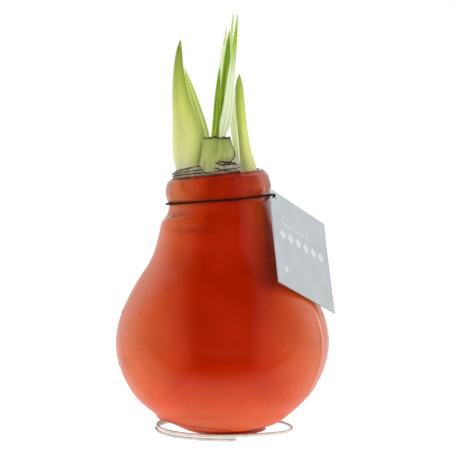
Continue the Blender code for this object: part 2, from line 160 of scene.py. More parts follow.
camera_data = bpy.data.cameras.new("camera")
camera_data.lens = LENS_MM
camera_data.sensor_width = 36.0
camera_data.clip_start = 0.01
camera = bpy.data.objects.new("camera", camera_data)
camera.location = row_point(CAMERA_POINT)
camera.rotation_euler = (math.radians(90.0 - CAMERA_DOWN_DEGREES), 0.0, 0.0)
bpy.context.scene.collection.objects.link(camera)
bpy.context.scene.camera = camera
print("camera at", tuple(round(value, 4) for value in camera.location))

# %% [markdown]
# ## Light and floor
#
# The real picture was lit by a white tent: white behind, at both sides and below, with the dark room on
# the camera's side. Wax is glossy, so it shows that room as a deep red field in the middle and the
# white tent as pale edges. The world is painted the same way: bright all round and dark towards the
# camera, with soft edges. The wide fills light the colours and are hidden from gloss, one small light
# draws the bright edge at the right, and a narrow spot lifts the pale shoots. The floor looks white to
# the camera, but it darkens at its front edge, so that it throws less light up under the belly.
#
# Every node is made by the same few helpers: one adds a node and feeds its inputs, and the others are
# short names for the nodes that are used most.

# %% Node helpers
WHITE = (1.0, 1.0, 1.0)


def feed(tree, node, inputs):
    """Give a node's inputs plain values or colours, or links from other sockets."""
    for name, value in inputs.items():
        socket = node.inputs[name]
        if isinstance(value, bpy.types.NodeSocket):
            tree.links.new(value, socket)
        elif socket.type == "RGBA":
            socket.default_value = tuple(value) + (1.0,)
        else:
            socket.default_value = value


def new_node(tree, kind, inputs=None, **settings):
    """Add a node, set its properties and feed its inputs."""
    made = tree.nodes.new(kind)
    for name, value in settings.items():
        setattr(made, name, value)
    feed(tree, made, inputs or {})
    return made


def math_node(tree, operation, first, second=0.0):
    """What a Math node makes of sockets or plain numbers."""
    return new_node(tree, "ShaderNodeMath", {0: first, 1: second}, operation=operation).outputs[0]


def spread_node(tree, value, low, high, to_low=0.0, to_high=1.0, smooth=False):
    """Map a value from one span to another, and hold it there."""
    spans = {"Value": value, "From Min": low, "From Max": high, "To Min": to_low, "To Max": to_high}
    curve = "SMOOTHSTEP" if smooth else "LINEAR"
    return new_node(tree, "ShaderNodeMapRange", spans, interpolation_type=curve).outputs["Result"]


def ramp_node(tree, share, stops):
    """The colour at a share of a ramp of (place, colour) pairs."""
    made = new_node(tree, "ShaderNodeValToRGB", {"Fac": share})
    elements = made.color_ramp.elements
    while len(elements) < len(stops):
        elements.new(0.5)
    for element, (place, colour) in zip(elements, stops):
        element.position = place
        element.color = tuple(colour) + (1.0,)
    return made.outputs["Color"]


def place_parts(tree, kind="Object"):
    """The X, Y and Z sockets of a place on the piece."""
    place = new_node(tree, "ShaderNodeTexCoord")
    return new_node(tree, "ShaderNodeSeparateXYZ", {"Vector": place.outputs[kind]}).outputs


# %% White tent
SIDE_BRIGHT = 0.28
SIDE_EXTRA = 0.16
BACK_BRIGHT = 0.80

world = bpy.data.worlds.new("white_tent")
bpy.context.scene.world = world
world.use_nodes = True
tree = world.node_tree
tree.nodes.clear()
parts = place_parts(tree, "Generated")
aside = math_node(tree, "ABSOLUTE", parts["X"])
near_side = spread_node(tree, aside, 0.48, 0.70, 0.0, SIDE_BRIGHT, smooth=True)
far_side = spread_node(tree, aside, 0.90, 1.00, 0.0, SIDE_EXTRA, smooth=True)
behind = spread_node(tree, parts["Y"], -0.10, 0.50, 0.0, BACK_BRIGHT, smooth=True)
tent = math_node(tree, "ADD", math_node(tree, "ADD", near_side, far_side), behind)
seen = new_node(tree, "ShaderNodeLightPath").outputs["Is Camera Ray"]
sky = {"Color": WHITE, "Strength": math_node(tree, "MAXIMUM", tent, seen)}
new_node(tree, "ShaderNodeOutputWorld", {"Surface": new_node(tree, "ShaderNodeBackground", sky).outputs[0]})
bpy.context.scene.view_settings.view_transform = "Standard"

# %% Lights
# Name, place and aim in plant millimetres, size in metres, watts, and whether gloss shows it.
AREA_LIGHTS = (
    ("front_fill", (0.0, -1300.0, 500.0), (0.0, 0.0, 60.0), (1.6, 1.6), 4.8, False),
    ("left_fill", (-1000.0, -350.0, 160.0), (0.0, 0.0, 50.0), (0.6, 0.6), 3.2, False),
    ("right_fill", (1000.0, -350.0, 160.0), (0.0, 0.0, 50.0), (0.6, 0.6), 3.2, False),
    ("low_fill", (0.0, -330.0, 10.0), (0.0, -30.0, 10.0), (0.40, 0.02), 0.30, False),
    ("edge_right", (190.0, 150.0, 45.0), (40.0, -10.0, 42.0), (0.014, 0.08), 0.016, True),
)
SNOOT_PLACE = (0.0, -900.0, 260.0)
SNOOT_AIM = (-3.0, 0.0, 153.0)
SNOOT_DEGREES = 5.8
SNOOT_WATTS = 19.0


def place_light(data, point, aim, glossy):
    """Put a light in the scene and aim it, with both points in plant millimetres."""
    light = bpy.data.objects.new(data.name, data)
    light.location = row_point(point)
    towards = row_point(aim) - row_point(point)
    light.rotation_euler = towards.to_track_quat("-Z", "Y").to_euler()
    light.visible_glossy = glossy
    bpy.context.scene.collection.objects.link(light)


for name, point, aim, size, watts, glossy in AREA_LIGHTS:
    area = bpy.data.lights.new(name, "AREA")
    area.shape = "RECTANGLE"
    area.size, area.size_y = size
    area.energy = watts
    place_light(area, point, aim, glossy)

snoot = bpy.data.lights.new("shoot_snoot", "SPOT")
snoot.energy = SNOOT_WATTS
snoot.spot_size = math.radians(SNOOT_DEGREES)
snoot.spot_blend = 0.12
snoot.shadow_soft_size = 0.05
place_light(snoot, SNOOT_PLACE, SNOOT_AIM, False)
print("lights", len(AREA_LIGHTS) + 1)

# %% Material helper and floor
FLOOR_HALF = 3.0
FLOOR_FRONT = -0.085
FLOOR_FADE = 0.040
FLOOR_GLOW = 0.45
FLOOR_STOPS = ((0.0, (0.12, 0.12, 0.12)), (1.0, (0.82, 0.82, 0.82)))


def new_material(name, even):
    """A material with a Principled shader, whose even values sit on its own sockets."""
    material = bpy.data.materials.new(name)
    material.use_nodes = True
    tree = material.node_tree
    shader = tree.nodes["Principled BSDF"]
    feed(tree, shader, even)
    return material, tree, shader


floor_mesh = bpy.data.meshes.new("floor")
corners = [(-FLOOR_HALF, FLOOR_FRONT, 0.0), (FLOOR_HALF, FLOOR_FRONT, 0.0)]
corners += [(FLOOR_HALF, FLOOR_HALF, 0.0), (-FLOOR_HALF, FLOOR_HALF, 0.0)]
floor_mesh.from_pydata(corners, [], [(0, 1, 2, 3)])
floor_paint, tree, shader = new_material("floor_white", {"Roughness": 0.6, "Emission Color": WHITE})
fade = spread_node(tree, place_parts(tree)["Y"], FLOOR_FRONT, FLOOR_FRONT + FLOOR_FADE, smooth=True)
seen = new_node(tree, "ShaderNodeLightPath").outputs["Is Camera Ray"]
glow = math_node(tree, "MAXIMUM", math_node(tree, "MULTIPLY", fade, FLOOR_GLOW), seen)
feed(tree, shader, {"Base Color": ramp_node(tree, fade, FLOOR_STOPS), "Emission Strength": glow})
floor = add_object("floor", floor_mesh, floor_paint)

# %% [markdown]
# ## Shared surface effects
#
# Two small node groups serve several finishes. `mottle` drifts a colour softly between two values, as
# plant skin and dipped wax do. `grain` gives a fine height for a Bump node. Both read Object
# coordinates, so they hold still on the piece.

# %% Shared shader groups


def new_group(name, kind, inputs, outputs):
    """A node group with named inputs, each with a default where it has one, and named outputs."""
    group = bpy.data.node_groups.new(name, kind)
    for way, sockets in (("INPUT", inputs), ("OUTPUT", outputs)):
        for label, socket_kind, *value in sockets:
            socket = group.interface.new_socket(label, in_out=way, socket_type="NodeSocket" + socket_kind)
            if value:
                socket.default_value = value[0]
    return group, new_node(group, "NodeGroupInput").outputs


def make_mottle():
    """A group that drifts between two colours with soft noise."""
    group, given = new_group(
        "mottle", "ShaderNodeTree",
        (("Colour A", "Color"), ("Colour B", "Color"), ("Scale", "Float")),
        (("Colour", "Color"), ("Mask", "Float")),
    )
    place = new_node(group, "ShaderNodeTexCoord").outputs["Object"]
    cloud = new_node(group, "ShaderNodeTexNoise", {
        "Vector": place, "Scale": given["Scale"], "Detail": 3.0, "Roughness": 0.55,
    })
    mask = spread_node(group, cloud.outputs["Fac"], 0.32, 0.68)
    sides = {"Factor": mask, "A": given["Colour A"], "B": given["Colour B"]}
    blend = new_node(group, "ShaderNodeMix", sides, data_type="RGBA")
    new_node(group, "NodeGroupOutput", {"Colour": blend.outputs["Result"], "Mask": mask})
    return group


def make_grain():
    """A group that gives a fine height, stretched along each axis by a share."""
    group, given = new_group(
        "grain", "ShaderNodeTree", (("Scale", "Float"), ("Stretch", "Vector")), (("Height", "Float"),),
    )
    place = new_node(group, "ShaderNodeTexCoord").outputs["Object"]
    shrink = new_node(group, "ShaderNodeVectorMath", {0: place, 1: given["Stretch"]}, operation="MULTIPLY")
    cloud = new_node(group, "ShaderNodeTexNoise", {
        "Vector": shrink.outputs[0], "Scale": given["Scale"], "Detail": 4.0,
    })
    new_node(group, "NodeGroupOutput", {"Height": cloud.outputs["Fac"]})
    return group


MOTTLE = make_mottle()
GRAIN = make_grain()
print("shader groups", MOTTLE.name, GRAIN.name)

# %% Ways to use them


def mottle_node(tree, scale, first, second):
    """A colour that drifts between two, and its mask."""
    values = {"Scale": scale, "Colour A": first, "Colour B": second}
    return new_node(tree, "ShaderNodeGroup", values, node_tree=MOTTLE).outputs


def grain_node(tree, scale, stretch=WHITE):
    """A fine height."""
    values = {"Scale": scale, "Stretch": stretch}
    return new_node(tree, "ShaderNodeGroup", values, node_tree=GRAIN).outputs["Height"]


def tint_node(tree, share, colour, tint, blend="MULTIPLY"):
    """A colour multiplied by a tint, or mixed with it, by a share."""
    values = {"Factor": share, "A": colour, "B": tint}
    return new_node(tree, "ShaderNodeMix", values, data_type="RGBA", blend_type=blend).outputs["Result"]


def scale_node(tree, value, level):
    """A colour or a vector times a number."""
    return new_node(tree, "ShaderNodeVectorMath", {0: value, "Scale": level}, operation="SCALE").outputs[0]


def mark_node(tree, name):
    """A mark that the mesh carries on its points."""
    return new_node(tree, "ShaderNodeAttribute", attribute_name=name).outputs["Fac"]


def bump_node(tree, height, strength, distance):
    """The normal that a fine height gives."""
    values = {"Height": height, "Strength": strength, "Distance": distance}
    return new_node(tree, "ShaderNodeBump", values).outputs["Normal"]


def height_ramp(tree, low_z, high_z, stops):
    """A colour that follows the height on the piece, from low_z to high_z in millimetres."""
    share = spread_node(tree, place_parts(tree)["Z"], low_z * MM, high_z * MM)
    return ramp_node(tree, share, stops)


# %% [markdown]
# ## The wax skin
#
# The bulb was dipped in hot wax, more than once, and hung up to set. So the skin follows the bulb, but
# everything is softened: a rolled bead where the wax ends at the neck, a groove under it, a crease
# where the skin slid down at the left, and at the foot a lip where the body's wax hangs over the foot's.
# A turned profile gives the body, and a formula of angle and height adds the rest, because each of
# those marks has a place and a size that can be named. Each point also carries a `fold` mark, which the
# material reads. It darkens and dulls the wax, mostly as painted shade and shadow in the creases, at the
# foot and along the tag's edge.

# %% Wax profile
WAX_WALL = 1.6
NECK_LEAN = -2.1
NECK_TILT = 0.065
WAX_TOP = ((18.4, 111.6), (19.2, 112.0))
WAX_OUTER = (
    (20.4, 110.9), (21.9, 108.2), (22.6, 104.2), (21.9, 101.0), (21.2, 98.6), (22.1, 94.2),
    (24.4, 88.8), (26.6, 83.0), (28.4, 77.6), (31.2, 72.2), (34.7, 67.3), (38.0, 62.2),
    (41.1, 56.6), (43.9, 50.0), (45.6, 43.6), (46.1, 37.6), (45.2, 30.8), (42.6, 23.4),
    (38.1, 15.8), (32.6, 10.4), (26.6, 6.8), (20.6, 4.6), (17.8, 3.2), (16.4, 1.6),
    (13.6, 0.6), (6.0, 0.45), (0.4, 0.42),
)
WAX_STEPS = 320
WAX_SPAN_STEPS = 7


def lean(point):
    """Lean and tilt the neck, as the solid bulb and coat do."""
    x, y, z = point
    shift = NECK_LEAN * ease(z, 58.0, 96.0)
    rise = NECK_TILT * x * ease(z, 84.0, 98.0)
    angle = math.atan2(y, x)
    belly = ease(z, 8.0, 30.0) * fall(z, 70.0, 92.0)
    swell = 1.0 + belly * (0.010 * math.sin(2.0 * angle + 0.6) + 0.007 * math.sin(3.0 * angle))
    return Vector((x * swell + shift, y * swell, z + rise))


print("widest wax ring", max(radius for radius, height in WAX_OUTER), "mm in radius")

# %% Relief of body and neck
# Soft waves: how high, how many round, where they start, and how long they are in z.
BODY_WAVES = ((0.30, 1.6, (0.0, 0.0, 0.0), 26.0), (0.10, 4.0, (3.0, 0.0, 0.0), 9.0))
NECK_WAVES = ((0.34, 3.2, (7.0, 0.0, 0.0), 6.0), (0.16, 9.0, (1.0, 4.0, 0.0), 2.6))
# Bumps and creases of the neck: how high, angle and its width in degrees, height and its width.
NECK_MARKS = (
    (0.55, 178.0, 26.0, 90.0, 3.2), (1.70, -144.0, 22.0, 91.0, 2.5), (-1.15, -144.0, 22.0, 95.3, 1.3),
    (-0.55, -124.0, 22.0, 87.4, 1.4), (0.30, -128.0, 30.0, 96.4, 1.0), (1.25, -12.0, 34.0, 95.5, 6.0),
)
CORD_PRESS = 0.22
CORD_GROOVE_Z = 99.3


def waves(rows, around, z):
    """The sum of some soft waves."""
    total = 0.0
    for high, turns, begin, long in rows:
        total += high * noise.noise(around * turns + Vector(begin) + Vector((0.0, 0.0, z / long)))
    return total


def hills(rows, angle, z):
    """The sum of some hills, each with how high, angle and its width, height and its width."""
    total = 0.0
    for high, turn, wide, level, tall in rows:
        total += high * turn_hill(angle, turn, wide) * hill(z, level, tall)
    return total


def drip_ridge(angle, z):
    """Two faint runs of wax, down the right flank and the lower left."""
    right = turn_hill(angle, -23.0 + 0.05 * (z - 38.0), 2.2) * ease(z, 14.0, 20.0) * fall(z, 44.0, 54.0)
    left = turn_hill(angle, -165.0 + 0.35 * (z - 20.0), 2.4) * ease(z, 7.0, 11.0) * fall(z, 26.0, 34.0)
    return 0.22 * right + 0.20 * left


def wax_relief(angle, z):
    """How far the wax stands out of its turned shape, in millimetres."""
    around = Vector((math.cos(angle), math.sin(angle), 0.0))
    out = waves(BODY_WAVES, around, z) + ease(z, 84.0, 92.0) * waves(NECK_WAVES, around, z)
    out += hills(NECK_MARKS, angle, z) + drip_ridge(angle, z)
    return out - CORD_PRESS * hill(z, CORD_GROOVE_Z, 0.8)


print("neck marks", len(NECK_MARKS))

# %% [markdown]
# ## The foot of the wax
#
# The bulb stood on its foot while its wax was still soft. So the body's wax hangs over the foot's in a
# lip all round, with a slanting hollow at the left and a facet at the right, and the foot is spread
# where it rests. Each function gives one of these at an angle and a height, so one can be changed
# without the others.

# %% Foot of the wax
# Where the body's wax ends over the foot's: angle in degrees and height.
FOOT_LIP = (
    (-180.0, 6.2), (-155.0, 6.0), (-132.0, 5.4), (-116.0, 4.6), (-90.0, 3.6), (-74.0, 2.4), (-63.0, 2.4),
    (-50.0, 3.0), (-35.0, 3.6), (-20.0, 4.0), (30.0, 3.8), (90.0, 3.6), (140.0, 4.6), (180.0, 6.2),
)
FOOT_BUMPS = ((0.5, -158.0, 9.0, 7.6, 0.7),)
FOOT_LEFT_SPREAD = ((4.8, -160.0, 32.0, 4.4, 2.6),)
# How far the foot spreads, angle and its width in degrees, and the heights over which that ends.
FOOT_SPREAD = (
    (2.2, -18.0, 32.0, 2.6, 4.6), (1.4, -18.0, 32.0, 0.6, 1.8), (7.0, -82.0, 44.0, -1.0, 6.5),
)
HOLLOW_TURN = -138.0
HOLLOW_Z = 4.9
HOLLOW_SLANT = -0.085


def turned_degrees(angle):
    """An angle in degrees, from -180 to 180."""
    return (math.degrees(angle) + 180.0) % 360.0 - 180.0


def foot_lip_z(angle):
    """The height of the lip where the body's wax hangs over the foot's."""
    degrees = turned_degrees(angle)
    for (first, low), (last, high) in zip(FOOT_LIP, FOOT_LIP[1:]):
        if degrees <= last:
            return low + (high - low) * ease(degrees, first, last)
    return FOOT_LIP[-1][1]


def foot_hollow(angle, z):
    """The slanting hollow at the left of the foot, 1 in its middle."""
    middle = HOLLOW_Z + HOLLOW_SLANT * (turned_degrees(angle) - HOLLOW_TURN)
    return turn_hill(angle, HOLLOW_TURN, 16.0) * hill(z, middle, 1.1)


def foot_relief(angle, z):
    """How the body's wax hangs over the foot's, with a bump at the left and a facet at the right."""
    lip = foot_lip_z(angle) + 1.0 * turn_hill(angle, -50.0, 60.0)
    under = fall(z, lip - 0.30, lip + 0.20)
    deep = 0.35 + 0.50 * turn_hill(angle, -30.0, 26.0)
    out = 0.45 * hill(z, lip + 0.6, 0.5) - deep * under * ease(z, 0.5, 1.2)
    return out + hills(FOOT_BUMPS, angle, z)


def foot_spread(angle, z):
    """How much wider the foot is than the turned shape."""
    out = hills(FOOT_LEFT_SPREAD, angle, z) + 0.5 * fall(z, 2.2, 5.0)
    for far, turn, wide, low, high in FOOT_SPREAD:
        out += far * turn_hill(angle, turn, wide) * fall(z, low, high)
    return out - 0.9 * foot_hollow(angle, z)


print("lip points", len(FOOT_LIP))

# %% Sag, and fold marks of painted shade
# Painted shade in the neck's creases: how dark, angle and its width in degrees, height and its width.
NECK_CREASE_SHADE = ((0.6, -140.0, 26.0, 95.2, 0.9), (0.5, -120.0, 24.0, 87.4, 1.2))


def belly_sag(angle, radius, z):
    """How far the wax sags under the belly, at the front and the right."""
    front = 1.3 * turn_hill(angle, -92.0, 34.0) * hill(radius, 20.5, 4.5)
    right = 1.9 * turn_hill(angle, -22.0, 46.0) * hill(radius, 24.0, 6.5)
    return (front + right) * fall(z, 9.0, 16.0) * ease(z, 0.8, 2.8)


def fold_and_shade_mark(angle, z):
    """How dark and dull the wax is: painted shade and shadow at creases, foot and tag edge; darker rim."""
    lip = foot_lip_z(angle)
    # Painted shade: the facet at the right of the foot, the lip's crease and the hollow at the left are
    # darkened for the shade in them. The contact term is a painted shadow where the foot meets the wire
    # ring.
    facet_shade = 0.5 * turn_hill(angle, -38.0, 26.0) * fall(z, lip - 0.3, lip + 0.1)
    ring_contact_shadow = turn_hill(angle, -85.0, 50.0) * fall(z, 2.1, 2.7)
    foot = facet_shade + hill(z, lip, 0.36) + ring_contact_shadow + 0.9 * foot_hollow(angle, z)
    # Painted shadow of the tag: a darker band on the wax along the tag's left edge.
    tag_edge_shadow = 0.7 * turn_hill(angle, z - 120.0, 9.0) * ease(z, 58.0, 68.0) * fall(z, 106.0, 110.0)
    rim = 0.6 * ease(z, 110.8, 111.6)
    return min(1.0, fall(z, 8.0, 12.0) * foot + hills(NECK_CREASE_SHADE, angle, z) + tag_edge_shadow + rim)


# %% [markdown]
# ## From the profile to the skin
#
# The wax tore unevenly as it set, so the height of its upper edge wanders with the angle. Each point of
# the skin starts on the turned profile and is pushed out along the profile's normal by all the reliefs
# above. A displacement texture could do the same, but here the hollow inside and the closed rim come
# with it. Rings of such points run from the inner floor up, over the rim and down to the foot, and are
# joined into one closed skin.

# %% Rim and points of the wax


def torn_rim(angle):
    """The uneven height of the wax's upper edge, which is lower in front."""
    around = Vector((math.cos(angle), math.sin(angle), 0.0))
    wave = 0.40 * noise.noise(around * 3.0 + Vector((0.0, 5.0, 0.0)))
    wave += 0.28 * noise.noise(around * 9.0 + Vector((0.0, 9.0, 2.0)))
    return wave - 0.6 - 1.4 * turn_hill(angle, -128.0, 75.0)


def wax_point(radius, height, normal, angle, relief_share=1.0):
    """A point of the wax skin, moved along the profile's normal by the relief."""
    share = relief_share * ease(radius, 2.0, 12.0)
    relief = share * (wax_relief(angle, height) + foot_relief(angle, height))
    out = radius + normal[0] * relief + share * foot_spread(angle, height)
    up = height + normal[1] * relief * ease(height, 1.0, 3.0)
    up += torn_rim(angle) * ease(height, 108.6, 111.2) - share * belly_sag(angle, radius, height)
    return lean((out * math.cos(angle), out * math.sin(angle), up))


def outward_normals(rows):
    """The outward normal of each row of a profile that runs down the outside."""
    normals = []
    for index in range(len(rows)):
        before = rows[max(index - 1, 0)]
        after = rows[min(index + 1, len(rows) - 1)]
        step = Vector((after[0] - before[0], after[1] - before[1]))
        step.normalize()
        normals.append((-step.y, step.x))
    return normals


# %% Wax skin


def wax_rings():
    """Rings from the inner floor up inside, over the rim and down to the foot."""
    outer = smooth_rows(list(WAX_TOP) + list(WAX_OUTER), WAX_SPAN_STEPS)
    inner = [(radius - WAX_WALL, height) for radius, height in WAX_OUTER[:21]]
    inner = [(0.5, 6.6), (12.0, 6.7), (20.0, 7.4)] + list(reversed(inner))
    angles = [2.0 * math.pi * step / WAX_STEPS for step in range(WAX_STEPS)]
    rings = []
    marks = []
    for share, rows in ((0.0, inner), (1.0, outer)):
        for (radius, height), normal in zip(rows, outward_normals(rows)):
            ring = [wax_point(radius, height, normal, angle, share) for angle in angles]
            levels = [point.z if height < 50.0 else height for point in ring]
            rings.append(ring)
            marks.append([share * fold_and_shade_mark(angle, z) for angle, z in zip(angles, levels)])
    return rings, marks


# %% [markdown]
# ## The finish of the wax
#
# Dipped wax is glossy and lets a little light in. It is deep red in front and behind and more orange at
# the flanks and the foot. That is partly the wax's own colour and partly painted light for the light the
# flanks catch from the sides and the foot from below. A painted picture would fit this one shape only. So
# the colour is a ramp over the distance from the axis and the height, with a soft drift on top. The neck
# is browner, and the fold mark darkens and dulls the wax with painted shade and shadow in its creases and
# at its foot.

# %% Wax material
# Deep red to orange: partly the wax's own colour and partly painted light, as the flanks and the foot are
# lighter for the light they catch from the sides and from below.
WAX_COLOURS_AND_SIDE_LIGHT = (
    (0.0, (0.64, 0.021, 0.0005)), (0.30, (0.76, 0.048, 0.003)), (1.0, (0.86, 0.142, 0.012)),
)
WAX_EVEN = {
    "Roughness": 0.16, "IOR": 1.45,
    "Subsurface Weight": 0.12, "Subsurface Radius": (1.0, 0.4, 0.2), "Subsurface Scale": 0.002,
}
# The tint of the painted shade and shadow in the wax's creases, at its foot and along the tag's edge.
FOLD_SHADE_TINT = (0.44, 0.17, 0.14)


def make_wax_material():
    """Dipped wax: deep red front and back, orange at flanks and foot partly as painted light, browner neck.
    """
    material, tree, shader = new_material("dipped_wax", WAX_EVEN)
    parts = place_parts(tree)
    aside = math_node(tree, "ABSOLUTE", parts["X"])
    half_width = spread_node(tree, parts["Z"], 0.062, 0.092, 0.046, 0.027)
    flank = spread_node(tree, math_node(tree, "DIVIDE", aside, half_width), 0.24, 0.83)
    foot = spread_node(tree, parts["Z"], 0.034, 0.004)
    # The flank and foot shares are partly painted light: lighter, more orange wax where side and floor
    # light fall.
    red = ramp_node(tree, math_node(tree, "MAXIMUM", flank, foot), WAX_COLOURS_AND_SIDE_LIGHT)
    drift = mottle_node(tree, 60.0, (0.86, 0.82, 0.80), WHITE)
    neck_tone = mottle_node(tree, 150.0, (0.62, 0.74, 0.64), (0.84, 1.0, 0.90))
    neck = spread_node(tree, parts["Z"], 0.082, 0.102)
    # The fold mark is mostly painted shade and shadow: it tints the wax darker and dulls it.
    fold = mark_node(tree, "fold")
    colour = tint_node(tree, neck, tint_node(tree, 1.0, red, drift["Colour"]), neck_tone["Colour"])
    even = spread_node(tree, drift["Mask"], 0.0, 1.0, 0.09, 0.16)
    dull = math_node(tree, "MULTIPLY", math_node(tree, "MAXIMUM", foot, fold), 0.26)
    feed(tree, shader, {
        "Base Color": tint_node(tree, fold, colour, FOLD_SHADE_TINT),
        "Roughness": math_node(tree, "ADD", even, dull),
        "Normal": bump_node(tree, grain_node(tree, 260.0), 0.10, 0.0006),
    })
    return material


WAX = make_wax_material()
wax_rows, wax_marks = wax_rings()
wax_skin = add_object("wax_skin", ring_mesh("wax_skin", wax_rows, wax_marks, "fold"), WAX)
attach(wax_skin, "root")
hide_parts("wax_coat")
print("wax skin faces", len(wax_skin.data.polygons))

# %% [markdown]
# ## Bubbles in the wax
#
# Dipped wax holds small bubbles, which stand out as beads. They lie at random, so a tree scatters
# flattened beads on the skin, with a fixed seed and a smallest distance. Each bead is turned to the
# surface and sunk halfway in.

# %% Bubble tree
BEAD_SHAPE = (0.75, 1.25, 0.55)


def finish_tree(tree, geometry, finish):
    """Make the instances real, set the material and put the result out."""
    whole = new_node(tree, "GeometryNodeRealizeInstances", {"Geometry": geometry})
    paint = new_node(tree, "GeometryNodeSetMaterial", {"Geometry": whole.outputs[0], "Material": finish})
    new_node(tree, "NodeGroupOutput", {0: paint.outputs[0]})
    return tree


def make_bubble_tree():
    """The tree that scatters flattened beads over a skin."""
    tree, given = new_group("wax_bubbles", "GeometryNodeTree", (
        ("Skin", "Geometry"), ("Distance", "Float", 0.006), ("Density", "Float", 4000.0),
        ("Seed", "Int", 3), ("Smallest", "Float", 0.0002), ("Largest", "Float", 0.0005),
        ("Finish", "Material"),
    ), (("Bubbles", "Geometry"),))
    scatter = new_node(tree, "GeometryNodeDistributePointsOnFaces", distribute_method="POISSON")
    feed(tree, scatter, {
        "Mesh": given["Skin"], "Distance Min": given["Distance"], "Density Max": given["Density"],
        "Seed": given["Seed"],
    })
    sizes = {"Min": given["Smallest"], "Max": given["Largest"], "Seed": given["Seed"]}
    size = new_node(tree, "FunctionNodeRandomValue", sizes, data_type="FLOAT")
    bead = new_node(tree, "GeometryNodeMeshIcoSphere", {"Radius": 1.0, "Subdivisions": 3})
    flat = new_node(tree, "GeometryNodeTransform", {"Geometry": bead.outputs[0], "Scale": BEAD_SHAPE})
    spread = new_node(tree, "GeometryNodeInstanceOnPoints", {
        "Points": scatter.outputs["Points"], "Instance": flat.outputs[0],
        "Rotation": scatter.outputs["Rotation"], "Scale": size.outputs["Value"],
    })
    return finish_tree(tree, spread.outputs[0], given["Finish"])


def plain_mesh(source, weld=0.0):
    """What an object's modifiers or outline give, as a plain mesh. The object itself goes."""
    bpy.context.view_layer.update()
    graph = bpy.context.evaluated_depsgraph_get()
    mesh = bpy.data.meshes.new_from_object(source.evaluated_get(graph))
    bpy.data.objects.remove(source, do_unlink=True)
    shape = bmesh.new()
    shape.from_mesh(mesh)
    if weld:
        bmesh.ops.remove_doubles(shape, verts=shape.verts, dist=weld)
    bmesh.ops.recalc_face_normals(shape, faces=shape.faces)
    shape.to_mesh(mesh)
    shape.free()
    return mesh


def grown(source, tree, name, **values):
    """Run a tree on an object with the given inputs, and keep the result as a plain mesh."""
    step = source.modifiers.new("grow", "NODES")
    step.node_group = tree
    sockets = {item.name: item.identifier for item in tree.interface.items_tree if item.in_out == "INPUT"}
    for key, value in values.items():
        step[sockets[key.replace("_", " ")]] = value
    source.update_tag()
    mesh = plain_mesh(source)
    mesh.name = name
    mesh.shade_smooth()
    return add_object(name, mesh)


# %% Bubbles
# The beads stand on the body's outer side, so the tree works on a copy of that part of the skin.
BUBBLE_LOW_Z = 0.012
BUBBLE_HIGH_Z = 0.098
body_part = bmesh.new()
body_part.from_mesh(wax_skin.data)
left_out = []
for face in body_part.faces:
    middle = face.calc_center_median()
    facing_out = face.normal.x * middle.x + face.normal.y * middle.y > 0.0
    if not (facing_out and BUBBLE_LOW_Z < middle.z < BUBBLE_HIGH_Z):
        left_out.append(face)
bmesh.ops.delete(body_part, geom=left_out, context="FACES")
body_mesh = bpy.data.meshes.new("bubble_ground")
body_part.to_mesh(body_mesh)
body_part.free()
bubbles = grown(
    add_object("bubble_ground", body_mesh), make_bubble_tree(), "wax_bubbles",
    Distance=0.009, Density=6000.0, Seed=5, Smallest=0.00022, Largest=0.00052, Finish=WAX,
)
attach(bubbles, "root")
print("bubble faces", len(bubbles.data.polygons))

# %% [markdown]
# ## The bulb and its dry scale ends
#
# The bulb itself shows only at the neck, as a low brown crown. Round it stand the dry ends of the outer
# scales, thin as paper and brown, in layers with dark gaps between them. Each end is a curved sheet
# with a wavy edge.

# %% Bulb body
BULB_INSET = 2.0
BULB_SIDES = 96
CROWN = ((0.4, 110.6), (6.0, 110.5), (10.0, 110.3), (14.5, 109.8), (17.4, 108.9))
BULB_FLOOR = ((18.0, 8.2), (8.0, 7.4), (0.5, 7.2))
SCALE_DARK = (0.10, 0.060, 0.026)
SCALE_TAN = (0.36, 0.29, 0.17)
FIBRE_STOPS = ((0.35, (0.35, 0.30, 0.26)), (0.6, (1.0, 1.0, 1.0)))


def bulb_rings():
    """Rings of the bulb, from the middle of the crown down to the foot."""
    side = [(radius - BULB_INSET, height) for radius, height in WAX_OUTER[1:21]]
    rings = []
    for radius, height in smooth_rows(list(CROWN) + side + list(BULB_FLOOR), 2):
        ring = []
        for step in range(BULB_SIDES):
            angle = 2.0 * math.pi * step / BULB_SIDES
            top = ease(height, 108.0, 110.0)
            rough = 0.5 * top * noise.noise(Vector((radius, angle * 9.0, 0.0)) * 0.8)
            ring.append(lean((radius * math.cos(angle), radius * math.sin(angle), height + rough)))
        rings.append(ring)
    return rings


def make_scale_material():
    """Dry bulb scales: grey brown paper with darker fibres along it."""
    material, tree, shader = new_material("dry_scales", {"Roughness": 0.75})
    drift = mottle_node(tree, 420.0, SCALE_DARK, SCALE_TAN)
    fibres = grain_node(tree, 700.0, (1.0, 1.0, 0.12))
    feed(tree, shader, {
        "Base Color": tint_node(tree, 0.55, drift["Colour"], ramp_node(tree, fibres, FIBRE_STOPS)),
        "Normal": bump_node(tree, fibres, 0.5, 0.0004),
    })
    return material


DRY = make_scale_material()
bulb_body = add_object("bulb_body", ring_mesh("bulb_body", bulb_rings()), DRY)
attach(bulb_body, "root")
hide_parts("bulb")

